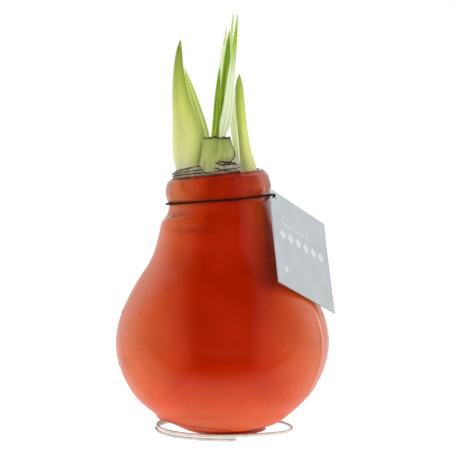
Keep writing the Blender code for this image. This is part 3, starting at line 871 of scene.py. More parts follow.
# %% Dry scale ends
# Radius, first and last angle, height at both ends, and how crumpled it is.
SCALE_ENDS = (
    (18.6, 160.0, 266.0, 111.2, 111.5, 0.20),
    (17.5, 158.0, 261.0, 112.2, 113.2, 0.20),
    (16.3, 160.0, 256.0, 113.0, 115.2, 0.20),
    (17.9, 248.0, 286.0, 111.4, 112.4, 0.9),
    (17.2, 264.0, 304.0, 112.8, 113.0, 1.1),
    (16.2, 266.0, 302.0, 114.8, 114.8, 0.9),
    (15.2, 270.0, 299.0, 116.0, 115.2, 0.8),
    (17.4, 20.0, 94.0, 112.4, 113.6, 0.4),
    (15.8, 56.0, 114.0, 114.4, 114.0, 0.5),
    (17.4, 102.0, 152.0, 113.4, 112.2, 0.4),
)
SHEET_FOOT_Z = 108.2
SHEET_LOW_Z = 108.8
SHEET_HALF = 0.26
SHEET_FLARE = 2.3
SHEET_COLUMNS = 72
SHEET_ROWS = 12


def sheet_top(index, row, share):
    """How high a sheet reaches at a share of its length, with its torn edge."""
    start_z, end_z, crumple = row[3:]
    fade = ease(share, -0.02, 0.06) * fall(share, 0.88, 1.03)
    edge = crumple * 0.9 * noise.noise(Vector((share * 4.0, index * 3.1, 0.0)))
    edge += crumple * 0.5 * noise.noise(Vector((share * 13.0, index * 1.7, 4.0)))
    edge += 0.18 * noise.noise(Vector((share * 31.0, index * 1.7, 9.0)))
    return SHEET_LOW_Z + (start_z + (end_z - start_z) * share * share + edge - SHEET_LOW_Z) * fade


def scale_sheet(index, row):
    """One dry scale end: rings round a thin curved sheet, and how far up each point is."""
    radius, first, last, _, _, crumple = row
    shares = [step / SHEET_ROWS for step in range(SHEET_ROWS + 1)]
    rings = []
    for column in range(SHEET_COLUMNS + 1):
        share = column / SHEET_COLUMNS
        angle = math.radians(first + (last - first) * share)
        top = sheet_top(index, row, share)
        front = []
        back = []
        for up in shares:
            height = SHEET_FOOT_Z + (top - SHEET_FOOT_Z) * up
            flare = SHEET_FLARE * ease(height, 110.2, 112.4)
            fold = crumple * noise.noise(Vector((share * 6.0, up * 2.5, index * 2.3)))
            fold += 0.35 * crumple * noise.noise(Vector((share * 19.0, up * 5.0, index * 5.3)))
            out = radius + flare + fold * up
            thin = SHEET_HALF * (1.0 - 0.5 * up)
            for side, distance in ((front, out + thin), (back, out - thin)):
                x = distance * math.cos(angle)
                side.append((x + NECK_LEAN, distance * math.sin(angle), height + NECK_TILT * x))
        rings.append(front + list(reversed(back)))
    return rings, [shares + list(reversed(shares))] * len(rings)


# %% [markdown]
# ## The finish of the scale ends
#
# The ends are tan and fibrous, stained red at the foot, with a dark torn edge. Just below the tan band
# each end is painted dark: painted shade where it comes out from behind the sheet outside it. Every sheet
# marks how far up each point is, and a ramp over that mark gives the bands, however high the sheet is.
# Fine noise stretched along Z makes the fibres.

# %% Scale end material
# The dark stop just below the tan band is painted shade, where a sheet comes out from behind the one
# outside it.
SHEET_STOPS = (
    (0.0, (0.10, 0.022, 0.008)), (0.30, (0.10, 0.045, 0.018)), (0.60, (0.06, 0.045, 0.022)),
    (0.74, (0.46, 0.40, 0.25)), (0.89, (0.50, 0.46, 0.30)), (0.94, (0.035, 0.030, 0.018)),
)


def make_sheet_material():
    """Papery scale ends: stained at the foot, painted shade below the tan band, tan above, dark dry edge.
    """
    material, tree, shader = new_material("dry_sheets", {"Roughness": 0.7})
    wobble = spread_node(tree, grain_node(tree, 240.0), 0.3, 0.7, -0.05, 0.05)
    band = ramp_node(tree, math_node(tree, "ADD", mark_node(tree, "up"), wobble), SHEET_STOPS)
    fibres = grain_node(tree, 700.0, (1.0, 1.0, 0.3))
    level = spread_node(tree, fibres, 0.35, 0.62, 0.62, 1.12)
    feed(tree, shader, {
        "Base Color": scale_node(tree, band, level),
        "Normal": bump_node(tree, fibres, 0.5, 0.0004),
    })
    return material


def join_meshes(name, meshes, material):
    """Several meshes as one piece."""
    shape = bmesh.new()
    for mesh in meshes:
        shape.from_mesh(mesh)
        bpy.data.meshes.remove(mesh)
    mesh = bpy.data.meshes.new(name)
    shape.to_mesh(mesh)
    shape.free()
    mesh.shade_smooth()
    return add_object(name, mesh, material)


sheets = []
for index, row in enumerate(SCALE_ENDS):
    rings, marks = scale_sheet(index, row)
    sheets.append(ring_mesh("sheet", rings, marks, "up"))
scale_ends = join_meshes("dry_scale_ends", sheets, make_sheet_material())
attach(scale_ends, "root")
print("dry scale ends", len(SCALE_ENDS))

# %% [markdown]
# ## One tree for buds and leaves
#
# A bud and a leaf both follow a path up from the crown, with a section that widens and narrows along
# it. One Geometry Nodes tree makes them all: it sweeps an oval along the path, flattens it by a share,
# bends it into a shallow gutter and raises fine ribs on it. The path's radius is the half width at each
# point. A loft by hand would do the same, but this way every shoot is the same recipe with other
# numbers. The tree also stores how far across the blade each point is, which the finish reads.

# %% Swept shoot tree


def stored(tree, geometry, name, value):
    """A geometry that keeps a value on its points, under a name."""
    values = {"Geometry": geometry, "Name": name, "Value": value}
    kept = new_node(tree, "GeometryNodeStoreNamedAttribute", data_type="FLOAT", domain="POINT")
    feed(tree, kept, values)
    return kept.outputs[0]


def make_shoot_tree():
    """The tree that sweeps a flattened, ribbed oval along a path."""
    tree, given = new_group("swept_shoot", "GeometryNodeTree", (
        ("Path", "Geometry"), ("Flatness", "Float", 0.2), ("Gutter", "Float", 0.1), ("Ribs", "Float", 6.0),
        ("Rib Height", "Float", 0.02), ("Sides", "Int", 40), ("Facing", "Vector", (0.0, -1.0, 0.0)),
        ("Finish", "Material"),
    ), (("Shoot", "Geometry"),))
    route = {"Curve": given["Path"], "Normal": given["Facing"]}
    facing = new_node(tree, "GeometryNodeSetCurveNormal", mode="FREE")
    feed(tree, facing, route)
    oval = new_node(tree, "GeometryNodeCurvePrimitiveCircle", {"Radius": 1.0, "Resolution": given["Sides"]})
    where = new_node(tree, "GeometryNodeInputPosition").outputs[0]
    split = new_node(tree, "ShaderNodeSeparateXYZ", {"Vector": where}).outputs
    wide = split["Y"]
    deep = split["X"]
    profile = stored(tree, oval.outputs["Curve"], "across", wide)
    ripple = math_node(tree, "COSINE", math_node(tree, "MULTIPLY", wide, given["Ribs"]))
    rib = math_node(tree, "MULTIPLY", ripple, given["Rib Height"])
    rib = math_node(tree, "MULTIPLY", rib, math_node(tree, "SIGN", deep))
    gutter = math_node(tree, "MULTIPLY", math_node(tree, "MULTIPLY", wide, wide), given["Gutter"])
    thick = math_node(tree, "MULTIPLY", deep, given["Flatness"])
    depth = math_node(tree, "ADD", math_node(tree, "ADD", thick, gutter), rib)
    place = new_node(tree, "ShaderNodeCombineXYZ", {"X": depth, "Y": wide}).outputs[0]
    bent = new_node(tree, "GeometryNodeSetPosition", {"Geometry": profile, "Position": place})
    sweep = new_node(tree, "GeometryNodeCurveToMesh", {
        "Curve": facing.outputs[0], "Profile Curve": bent.outputs[0], "Fill Caps": True,
        "Scale": new_node(tree, "GeometryNodeInputRadius").outputs[0],
    })
    return finish_tree(tree, sweep.outputs[0], given["Finish"])


def path_object(name, rows, closed=False):
    """A plain path through rows of x, y, z and half width, in plant millimetres."""
    curve = bpy.data.curves.new(name, "CURVE")
    curve.dimensions = "3D"
    spline = curve.splines.new("POLY")
    spline.points.add(len(rows) - 1)
    for target, row in zip(spline.points, rows):
        target.co = tuple(row_point(row[:3])) + (1.0,)
        target.radius = row[3] * MM
    spline.use_cyclic_u = closed
    path = bpy.data.objects.new(name, curve)
    bpy.context.scene.collection.objects.link(path)
    return path


SHOOT_TREE = make_shoot_tree()
print("shoot tree nodes", len(SHOOT_TREE.nodes))

# %% [markdown]
# ## Finishes of the green parts
#
# Young growth is pale where it has only just left the bulb and greener towards the tip. Light from
# behind makes the thin blades glow, so their skin has some subsurface light, and fine veins run along
# them. A bud is also darker and greener down one side, which is painted shade.

# %% Green finishes
GREEN_GLOW = (1.0, 1.0, 0.4)
# The tint of the painted shade down one side of a bud.
GREEN_SIDE_SHADE = (0.60, 0.66, 0.30)


def make_green(name, low_z, high_z, stops, roughness, veins, side=0.0, scatter=0.003, furrow=0.80):
    """Plant skin: a colour that follows the height, veins, a side of painted shade and light let through.
    """
    material, tree, shader = new_material(name, {
        "Roughness": roughness,
        "Subsurface Weight": 0.6, "Subsurface Radius": GREEN_GLOW, "Subsurface Scale": scatter,
    })
    across = mark_node(tree, "across")
    wave = math_node(tree, "SINE", math_node(tree, "MULTIPLY", across, veins))
    mask = spread_node(tree, wave, -1.0, 1.0, furrow, 1.0)
    # Painted shade: the side share tints one side of a bud darker and greener.
    deep = spread_node(tree, across, 0.0, -1.0 if side > 0.0 else 1.0, 0.0, abs(side))
    colour = tint_node(tree, deep, height_ramp(tree, low_z, high_z, stops), GREEN_SIDE_SHADE)
    cloud = grain_node(tree, 160.0, (1.0, 1.0, 0.25))
    drift = spread_node(tree, cloud, 0.3, 0.7, 0.90, 1.06)
    feed(tree, shader, {
        "Base Color": scale_node(tree, colour, math_node(tree, "MULTIPLY", mask, drift)),
        "Normal": bump_node(tree, mask, 0.25, 0.0002),
    })
    return material


BUD_SKIN = make_green(
    "bud_skin", 108.0, 170.0,
    ((0.0, (0.98, 1.0, 0.62)), (0.22, (0.94, 0.97, 0.42)), (0.5, (0.77, 0.83, 0.23)),
     (0.75, (0.46, 0.56, 0.09)), (1.0, (0.28, 0.38, 0.045))),
    0.36, 3.0, side=-0.85,
)
SLIM_BUD_SKIN = make_green(
    "slim_bud_skin", 108.0, 155.0,
    ((0.0, (0.92, 0.94, 0.48)), (0.3, (0.80, 0.85, 0.28)), (0.7, (0.54, 0.64, 0.12)),
     (1.0, (0.31, 0.43, 0.05))),
    0.36, 3.0, side=0.60,
)
# Name, colour stops, veins and how dark the furrows between the veins are.
LEAF_SKINS = (
    ("leaf_dark", (
        (0.0, (0.58, 0.66, 0.14)), (0.3, (0.34, 0.50, 0.03)), (1.0, (0.22, 0.39, 0.012)),
    ), 6.0, 0.52),
    ("leaf_lime", (
        (0.0, (0.66, 0.74, 0.20)), (0.3, (0.74, 0.84, 0.26)), (1.0, (0.60, 0.76, 0.16)),
    ), 6.0, 0.66),
    ("leaf_pale", (
        (0.0, (0.74, 0.82, 0.36)), (0.3, (0.82, 0.90, 0.58)), (0.8, (0.82, 0.92, 0.58)),
        (1.0, (0.48, 0.66, 0.12)),
    ), 9.0, 0.82),
    ("leaf_broad", (
        (0.0, (0.66, 0.76, 0.30)), (0.25, (0.80, 0.89, 0.56)), (0.60, (0.84, 0.93, 0.68)),
        (0.80, (0.42, 0.62, 0.06)), (1.0, (0.36, 0.56, 0.05)),
    ), 9.0, 0.84),
)
LEAF_DARK, LEAF_LIME, LEAF_PALE, LEAF_BROAD = [
    make_green(name, 112.0, 180.0, stops, 0.42, veins, scatter=0.001, furrow=furrow)
    for name, stops, veins, furrow in LEAF_SKINS
]
MEMBRANE = make_green(
    "dry_membrane", 108.0, 124.0,
    ((0.0, (0.90, 0.87, 0.70)), (1.0, (0.97, 0.96, 0.86))),
    0.6, 14.0, scatter=0.001,
)
print("green finishes", 3 + len(LEAF_SKINS))

# %% [markdown]
# ## The shoots
#
# Two plump buds, eight young blades and one dried membrane grow out of the crown. Each path starts
# inside the bulb and ends in a fine tip. The buds are nearly round and the blades are flat, which is
# one number of the same tree.

# %% Paths of the shoots
# Each row is x, y, z and the half width there.
BUD_LEFT = (
    (-14.4, 0.8, 104.0, 4.4), (-14.8, 0.8, 109.0, 4.9), (-15.2, 0.9, 114.0, 5.2),
    (-15.6, 1.0, 119.0, 5.9), (-15.3, 1.0, 127.5, 6.4), (-16.4, 1.0, 134.5, 5.3),
    (-18.0, 1.0, 143.5, 3.8), (-18.7, 1.0, 150.5, 2.9), (-19.0, 1.0, 158.0, 2.0),
    (-18.7, 1.0, 164.5, 1.2), (-18.2, 1.0, 169.0, 0.15),
)
BUD_RIGHT = (
    (10.7, 1.2, 104.0, 3.1), (10.9, 1.2, 109.5, 3.4), (11.2, 1.2, 113.5, 3.5),
    (9.9, 1.2, 120.5, 2.6), (8.8, 1.2, 128.5, 2.2), (7.9, 1.2, 137.0, 2.1),
    (7.35, 1.2, 145.0, 1.95), (7.2, 1.2, 150.0, 1.4), (7.4, 1.2, 154.2, 0.12),
)
LEAVES = {
    "leaf_back_left_near": (LEAF_LIME, (
        (-6.6, 5.0, 104.0, 1.7), (-6.4, 5.0, 114.0, 1.9), (-7.8, 5.0, 128.2, 1.95),
        (-11.3, 5.0, 139.9, 1.8), (-14.3, 5.0, 149.0, 1.4), (-16.6, 5.0, 157.5, 0.12),
    )),
    "leaf_back_left_far": (LEAF_PALE, (
        (-9.3, 7.2, 104.0, 1.6), (-9.0, 7.2, 114.0, 1.8), (-10.2, 7.2, 127.0, 1.9),
        (-13.6, 7.2, 139.0, 1.8), (-16.2, 7.2, 147.0, 1.3), (-18.0, 7.2, 154.0, 0.12),
    )),
    "leaf_middle_left": (LEAF_DARK, (
        (-4.6, -6.5, 113.9, 1.0), (-4.0, -6.5, 124.0, 1.1), (-3.1, -6.5, 132.0, 1.25),
        (-2.4, -6.5, 142.0, 1.1), (-1.7, -6.5, 150.0, 0.8), (-1.2, -6.5, 156.8, 0.12),
    )),
    "leaf_middle_pale": (LEAF_PALE, (
        (-3.6, -3.7, 113.9, 1.4), (-2.6, -3.7, 126.0, 1.6), (-1.0, -3.7, 140.0, 1.8),
        (0.2, -3.7, 155.0, 1.7), (1.0, -3.7, 165.0, 1.1), (1.7, -3.7, 173.8, 0.12),
    )),
    "leaf_middle_green": (LEAF_DARK, (
        (-2.3, -5.1, 113.9, 1.3), (-1.4, -5.1, 126.0, 1.5), (0.1, -5.1, 140.0, 1.6),
        (1.5, -5.1, 155.0, 1.4), (2.3, -5.1, 164.0, 1.0), (3.0, -5.1, 172.3, 0.12),
    )),
    "leaf_middle_thin": (LEAF_PALE, (
        (-1.6, -2.3, 113.9, 0.9), (-1.2, -2.3, 126.0, 1.1), (1.2, -2.3, 145.0, 1.3),
        (3.0, -2.3, 162.0, 1.0), (4.2, -2.3, 174.0, 0.5), (4.7, -2.3, 180.4, 0.1),
    )),
    "leaf_middle_broad": (LEAF_BROAD, (
        (-0.9, -6.5, 113.9, 1.3), (-0.5, -6.5, 123.0, 1.4), (0.0, -6.5, 127.4, 1.5),
        (1.1, -6.5, 132.0, 2.4), (2.6, -6.5, 141.0, 2.1), (4.0, -6.5, 155.0, 1.5),
        (5.4, -6.5, 168.0, 0.9), (6.5, -6.5, 179.0, 0.12),
    )),
    "leaf_right": (LEAF_PALE, (
        (6.6, 5.2, 104.0, 1.2), (6.5, 5.2, 113.0, 1.3), (5.9, 5.2, 121.5, 1.1),
        (5.0, 5.2, 130.0, 1.3), (4.5, 5.2, 140.0, 1.1), (4.7, 5.2, 148.5, 0.12),
    )),
}

# The dried membrane between the cut leaf base and the slim bud.
MEMBRANE_ROWS = (
    (6.6, -1.6, 108.4, 1.9), (6.5, -1.8, 112.0, 2.0), (6.0, -1.8, 115.6, 1.5),
    (5.6, -1.4, 118.4, 0.8), (5.6, -0.8, 121.5, 0.15),
)


# %% Buds and leaves
PATH_STEPS = 9


def dress_shoot(name, rows, finish, flatness, gutter, ribs, rib_height):
    """Grow one shoot and let it stand for its CAD node."""
    path = path_object(name + "_path", smooth_rows(rows, PATH_STEPS))
    shoot = grown(
        path, SHOOT_TREE, name + "_fine",
        Flatness=flatness, Gutter=gutter, Ribs=ribs, Rib_Height=rib_height, Finish=finish,
    )
    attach(shoot, "root")
    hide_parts(name)
    return shoot


membrane = grown(
    path_object("membrane_path", smooth_rows(MEMBRANE_ROWS, PATH_STEPS)), SHOOT_TREE, "dry_membrane",
    Flatness=0.10, Gutter=0.45, Ribs=11.0, Rib_Height=0.10, Finish=MEMBRANE,
)
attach(membrane, "root")

dress_shoot("flower_bud_left", BUD_LEFT, BUD_SKIN, 0.75, 0.0, 7.0, 0.012)
dress_shoot("flower_bud_right", BUD_RIGHT, SLIM_BUD_SKIN, 0.85, 0.0, 7.0, 0.012)
for leaf_name, (finish, rows) in LEAVES.items():
    dress_shoot(leaf_name, rows, finish, 0.25, 0.16, 14.0, 0.03)
print("shoots", 2 + len(LEAVES))

# %% [markdown]
# ## The cut leaf base
#
# An old leaf was cut off square, and its base stayed as a fleshy cup that folds round the young leaves.
# Its rim dried brown and ragged. It is a loft of ovals with a fold down the front, so it is made by
# hand.

# %% Cut leaf base
CUT_BASE = (
    (-2.8, -5.2, 104.0, 5.6, 5.4), (-3.0, -5.4, 109.5, 6.0, 5.8), (-3.6, -5.2, 113.2, 6.4, 5.9),
    (-2.8, -5.0, 116.0, 6.9, 5.9), (-2.0, -4.8, 118.2, 7.4, 5.8), (-1.8, -4.6, 120.6, 7.2, 5.5),
    (-2.1, -4.5, 122.9, 6.5, 5.3), (-2.4, -4.4, 126.4, 5.7, 5.1),
)
CUT_SIDES = 160
CUT_WALL = 1.0
CUT_RIM_Z = CUT_BASE[-1][2]
CUT_FLOOR_Z = 114.2


def fold_out(angle, z):
    """The overlap of the leaf base's two edges, which runs down its front."""
    apart = math.degrees(angle) + 86.0 - 0.9 * (z - 120.0)
    apart = (apart + 180.0) % 360.0 - 180.0
    step = 0.50 * ease(apart, -4.0, 2.0) * fall(apart, 2.0, 55.0)
    return step * ease(z, 108.0, 116.0)


def ragged(angle):
    """The dried rim's uneven height."""
    around = Vector((math.cos(angle), math.sin(angle), 0.0))
    wave = 0.45 * noise.noise(around * 2.4)
    return wave + 0.45 * noise.noise(around * 8.0) + 0.30 * noise.noise(around * 21.0)


def dried(angle, z):
    """How dry and brown the leaf base is: the rim, and a seam down the right flank."""
    around = Vector((math.cos(angle), math.sin(angle), 0.0))
    start = CUT_RIM_Z - 1.0 + 0.7 * noise.noise(around * 12.0)
    rim = ease(z, start, start + 0.5)
    seam = turn_hill(angle, -15.0, 8.0) * ease(z, 113.0, 116.0)
    return min(rim + seam, 1.0)


def cut_base_rings():
    """Rings up the outside, over the dried rim and down into the cup, and how dry each point is."""
    x, y, z, half_width, half_depth = CUT_BASE[-1]
    # How far in from the outer wall, and at which height, each inner ring lies.
    inner = ((0.35, z + 0.15), (CUT_WALL, z - 0.1), (CUT_WALL + 0.2, z - 3.0), (1.3, CUT_FLOOR_Z))
    rows = smooth_rows(CUT_BASE, 8)
    rows += [(x, y, height, half_width - inset, half_depth - inset) for inset, height in inner]
    angles = [2.0 * math.pi * side / CUT_SIDES for side in range(CUT_SIDES)]
    rings = []
    marks = []
    for x, y, z, half_width, half_depth in rows:
        dry = [dried(angle, z) for angle in angles]
        ring = []
        for angle, crust in zip(angles, dry):
            out = fold_out(angle, z) + 0.12 * noise.noise(Vector((angle * 3.0, z / 4.0, 1.0)))
            out += crust * 0.35 * noise.noise(Vector((angle * 9.0, z / 1.3, 7.0)))
            up = z + ragged(angle) * ease(z, CUT_RIM_Z - 2.0, CUT_RIM_Z)
            across = (half_width + out) * math.cos(angle)
            ring.append((x + across, y + (half_depth + out) * math.sin(angle), up))
        rings.append(ring)
        marks.append(dry)
    return rings, marks


# %% [markdown]
# ## The finish of the cut leaf base
#
# The flesh is olive green, pale at the foot and faintly streaked along its length, while the rim and a
# seam at the right have dried to a brown crust. Two materials would meet in a hard line. So the loft
# stores how dry each point is, and that mark mixes flesh and crust softly.

# %% Cut leaf base material
FLESH_STOPS = ((0.0, (0.80, 0.78, 0.44)), (0.32, (0.54, 0.58, 0.20)), (1.0, (0.34, 0.42, 0.075)))
CRUST_STOPS = ((0.35, (0.012, 0.009, 0.007)), (0.65, (0.16, 0.10, 0.045)))


def make_cut_material():
    """Olive green flesh, pale at the foot, with dried brown parts."""
    material, tree, shader = new_material("cut_leaf_flesh", {
        "Roughness": 0.42,
        "Subsurface Weight": 0.3, "Subsurface Radius": GREEN_GLOW, "Subsurface Scale": 0.002,
    })
    drift = mottle_node(tree, 300.0, (0.84, 0.86, 0.78), WHITE)
    flesh = tint_node(tree, 1.0, height_ramp(tree, 110.0, 127.2, FLESH_STOPS), drift["Colour"])
    streaks = spread_node(tree, grain_node(tree, 330.0, (1.0, 1.0, 0.14)), 0.38, 0.62, 0.74, 1.08)
    fibres = grain_node(tree, 900.0, (1.0, 1.0, 0.08))
    crust = ramp_node(tree, fibres, CRUST_STOPS)
    dry = spread_node(tree, mark_node(tree, "dry"), 0.35, 0.75)
    feed(tree, shader, {
        "Base Color": tint_node(tree, dry, scale_node(tree, flesh, streaks), crust, "MIX"),
        "Normal": bump_node(tree, fibres, 0.25, 0.0003),
    })
    return material


CUT_FLESH = make_cut_material()
cut_rings, cut_marks = cut_base_rings()
cut_mesh = ring_mesh("cut_leaf_base_fine", cut_rings, cut_marks, "dry")
cut_base = add_object("cut_leaf_base_fine", cut_mesh, CUT_FLESH)
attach(cut_base, "root")
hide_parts("cut_leaf_base")
print("cut leaf base faces", len(cut_base.data.polygons))

# %% [markdown]
# ## Wire ring and neck cord
#
# Both are round and follow a path: the wire stands as a ring of a turn and a third whose inner end
# rises into the foot, and the cord is a closed elastic loop held in the neck's groove that passes
# through the tag's hole. A second small tree sweeps a circle and raises ridges that wind round it,
# which is the cord's woven cover. The wire has the same tree with no ridges.

# %% Wound tube tree


def make_tube_tree():
    """The tree that sweeps a circle along a path, with ridges wound round it."""
    tree, given = new_group("wound_tube", "GeometryNodeTree", (
        ("Path", "Geometry"), ("Radius", "Float", 0.0005), ("Sides", "Int", 16),
        ("Spacing", "Float", 0.0004), ("Ridges", "Float", 0.0), ("Winding", "Float", 0.0),
        ("Ridge Height", "Float", 0.0), ("Finish", "Material"),
    ), (("Tube", "Geometry"),))
    even = new_node(tree, "GeometryNodeResampleCurve", mode="LENGTH")
    feed(tree, even, {"Curve": given["Path"], "Length": given["Spacing"]})
    far = new_node(tree, "GeometryNodeSplineParameter").outputs["Length"]
    circle = new_node(
        tree, "GeometryNodeCurvePrimitiveCircle", {"Radius": given["Radius"], "Resolution": given["Sides"]},
    )
    round_share = new_node(tree, "GeometryNodeSplineParameter").outputs["Factor"]
    sweep = new_node(tree, "GeometryNodeCurveToMesh", {
        "Curve": stored(tree, even.outputs[0], "far", far),
        "Profile Curve": stored(tree, circle.outputs["Curve"], "around", round_share),
        "Fill Caps": True,
    })
    read = {}
    for name in ("far", "around"):
        kept = new_node(tree, "GeometryNodeInputNamedAttribute", {"Name": name}, data_type="FLOAT")
        read[name] = kept.outputs[0]
    full_turn = math_node(tree, "MULTIPLY", given["Ridges"], 2.0 * math.pi)
    wound = math_node(tree, "MULTIPLY", read["far"], given["Winding"])
    turned = math_node(tree, "MULTIPLY", read["around"], full_turn)
    wave = math_node(tree, "SINE", math_node(tree, "ADD", wound, turned))
    rise = math_node(tree, "MULTIPLY", wave, given["Ridge Height"])
    push = scale_node(tree, new_node(tree, "GeometryNodeInputNormal").outputs[0], rise)
    raised = new_node(tree, "GeometryNodeSetPosition", {"Geometry": sweep.outputs[0], "Offset": push})
    return finish_tree(tree, raised.outputs[0], given["Finish"])


TUBE_TREE = make_tube_tree()
print("tube tree nodes", len(TUBE_TREE.nodes))

# %% Wire ring
WIRE_RADIUS = 0.65
RING_RADIUS = 29.5
RING_X = 0.65
RING_START = 280.0
RING_END = -195.0
RING_LIFT = 1.6
RING_STEP = 3.0
# How far in from the ring, how far aside and how high the inner end runs.
SPIKE_RUN = (
    (0.8, 1.4, 2.4), (2.6, 3.0, 2.7), (5.2, 3.6, 3.4), (9.0, 3.2, 4.8),
    (14.0, 2.2, 6.6), (19.0, 1.2, 8.0), (23.5, 0.5, 9.4), (26.6, 0.2, 11.4),
    (28.2, 0.0, 14.4), (28.6, 0.0, 18.0), (28.6, 0.0, 27.0),
)


def wire_rows():
    """The wire's path: the ring, then the end that rises into the foot."""
    rows = []
    angle = RING_START
    while angle > RING_END:
        climb = ease(-angle, -5.0, 70.0)
        radius = RING_RADIUS - 0.5 * climb
        turn = math.radians(angle)
        x = RING_X + radius * math.cos(turn)
        rows.append((x, radius * math.sin(turn), WIRE_RADIUS + RING_LIFT * climb, 1.0))
        angle -= RING_STEP
    turn = math.radians(RING_END)
    inward = Vector((-math.cos(turn), -math.sin(turn)))
    aside = Vector((math.sin(turn), -math.cos(turn)))
    start = Vector((RING_X, 0.0)) - inward * (RING_RADIUS - 0.5)
    for far, out, height in smooth_rows(SPIKE_RUN, 4):
        spot = start + inward * far + aside * out
        rows.append((spot.x, spot.y, height, 1.0))
    return rows


# %% [markdown]
# ## The finish of the wire
#
# Galvanised wire is a soft grey metal with dull patches. A pure metal would only mirror the white tent,
# so this one is less metallic, and its colour and its gloss drift. It is darker above and below with
# painted shade, for the dark outlines a round wire shows along its top and bottom.

# %% Wire material and piece
WIRE_LIGHT = (0.84, 0.90, 0.84)
WIRE_GREY = (0.64, 0.72, 0.66)
# The dark tint of the painted shade on the wire's upper and lower sides.
WIRE_EDGE_SHADE = (0.30, 0.29, 0.26)


def make_wire_material():
    """Galvanised steel wire: bright at its sides, darker above and below with painted shade."""
    material, tree, shader = new_material("galvanised_wire", {"Metallic": 0.2})
    drift = mottle_node(tree, 160.0, WIRE_GREY, WIRE_LIGHT)
    facing = new_node(tree, "ShaderNodeNewGeometry").outputs["Normal"]
    parts = new_node(tree, "ShaderNodeSeparateXYZ", {"Vector": facing}).outputs
    # Painted shade: where the wire faces up or down, its colour is tinted dark.
    flat = spread_node(tree, math_node(tree, "ABSOLUTE", parts["Z"]), 0.62, 0.92)
    feed(tree, shader, {
        "Base Color": tint_node(tree, flat, drift["Colour"], WIRE_EDGE_SHADE),
        "Roughness": spread_node(tree, drift["Mask"], 0.0, 1.0, 0.18, 0.42),
    })
    return material


WIRE = make_wire_material()
wire = grown(
    path_object("wire_path", wire_rows()), TUBE_TREE, "wire_ring",
    Radius=WIRE_RADIUS * MM, Sides=20, Spacing=0.0008, Finish=WIRE,
)
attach(wire, "root")
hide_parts("wire_stand")

# %% [markdown]
# ## The card tag and its cord
#
# The tag is a square of thin card that hangs turned, so its own three directions are worked out first,
# and the cord, the card and the print are all placed from them. The cord is held by the groove and the
# hole at its whole length, so it is a rigid loop that follows a path worked out from both.

# %% Tag frame and neck cord
TAG_SIDE = 44.0
TAG_THICKNESS = 0.6
TAG_HOLE_RADIUS = 1.5
TAG_HOLE_INSET = 3.1
TAG_CORNER = Vector((19.6, -14.6, 104.7))
TAG_ALONG = Vector((0.578, 0.731, -0.362)).normalized()
TAG_DOWN_HINT = Vector((0.077, -0.490, -0.868))
TAG_UP = -(TAG_DOWN_HINT - TAG_ALONG * TAG_DOWN_HINT.dot(TAG_ALONG)).normalized()
TAG_FACE = TAG_ALONG.cross(TAG_UP)
TAG_HOLE = TAG_CORNER + (TAG_ALONG - TAG_UP) * TAG_HOLE_INSET

CORD_RADIUS = 0.45
CORD_Z = 99.4
CORD_SLOPE = 0.068
CORD_REACH = 21.35 + CORD_RADIUS + 0.3
CORD_STEPS = 88


def tag_spot(along, face, up):
    """A point beside the tag's hole, measured along the card, out of its face and up it."""
    return TAG_HOLE + TAG_ALONG * along + TAG_FACE * face + TAG_UP * up


def cord_rows():
    """Round the neck's groove, over the tag's edge and back in through its hole."""
    aim = math.atan2(TAG_HOLE.y, TAG_HOLE.x - NECK_LEAN)
    spread = math.acos(CORD_REACH / math.hypot(TAG_HOLE.x - NECK_LEAN, TAG_HOLE.y))
    first = aim + spread
    last = aim - spread + 2.0 * math.pi
    points = []
    for step in range(CORD_STEPS + 1):
        angle = first + (last - first) * step / CORD_STEPS
        aside = CORD_REACH * math.cos(angle)
        height = CORD_Z + CORD_SLOPE * aside
        points.append(Vector((NECK_LEAN + aside, CORD_REACH * math.sin(angle), height)))
    over_edge = tag_spot(-TAG_HOLE_INSET - 0.4, 1.25, -0.8)
    entering = tag_spot(-0.5, 0.95, 0.4)
    through = tag_spot(0.1, 0.0, 0.3)
    leaving = tag_spot(0.85, -1.0, 0.0)
    start = points[-1]
    points += [start.lerp(over_edge, share) for share in (0.25, 0.5, 0.75)]
    points += [over_edge, entering.lerp(over_edge, 0.35), entering, through, leaving]
    points += [leaving.lerp(points[0], share) for share in (0.35, 0.7)]
    return [(point.x, point.y, point.z, 1.0) for point in points]


CORD_EVEN = {"Roughness": 0.8, "Specular IOR Level": 0.15}
CORD_PAINT, tree, shader = new_material("cord_black", CORD_EVEN)
thread = mottle_node(tree, 1500.0, (0.006, 0.006, 0.006), (0.020, 0.018, 0.018))
feed(tree, shader, {"Base Color": thread["Colour"]})

cord = grown(
    path_object("cord_path", cord_rows(), closed=True), TUBE_TREE, "elastic_cord",
    Radius=CORD_RADIUS * MM, Sides=16, Spacing=0.00025, Ridges=3.0, Winding=9000.0,
    Ridge_Height=0.00003, Finish=CORD_PAINT,
)
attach(cord, "root")
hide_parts("neck_cord")

# %% [markdown]
# ## The card
#
# A punched card could be a cube with a hole cut by a Boolean. A flat curve with a second outline for
# the hole gives the same shape with soft edges and clean faces, so it is used here and then made a
# plain mesh. Card is matt, with a faint paper grain.

# %% Card
CARD_TURN = Matrix((TAG_ALONG, TAG_UP, TAG_FACE)).transposed().to_4x4()
CARD_CENTRE = TAG_CORNER + (TAG_ALONG - TAG_UP) * (TAG_SIDE / 2.0)
CARD_PLACE = Matrix.Translation(row_point(CARD_CENTRE)) @ CARD_TURN
CARD_EDGE = 0.06
HOLE_STEPS = 40


def flat_spline(curve, points):
    """A closed straight-sided outline in a flat curve, in millimetres."""
    spline = curve.splines.new("POLY")
    spline.points.add(len(points) - 1)
    for target, (x, y) in zip(spline.points, points):
        target.co = (x * MM, y * MM, 0.0, 1.0)
    spline.use_cyclic_u = True


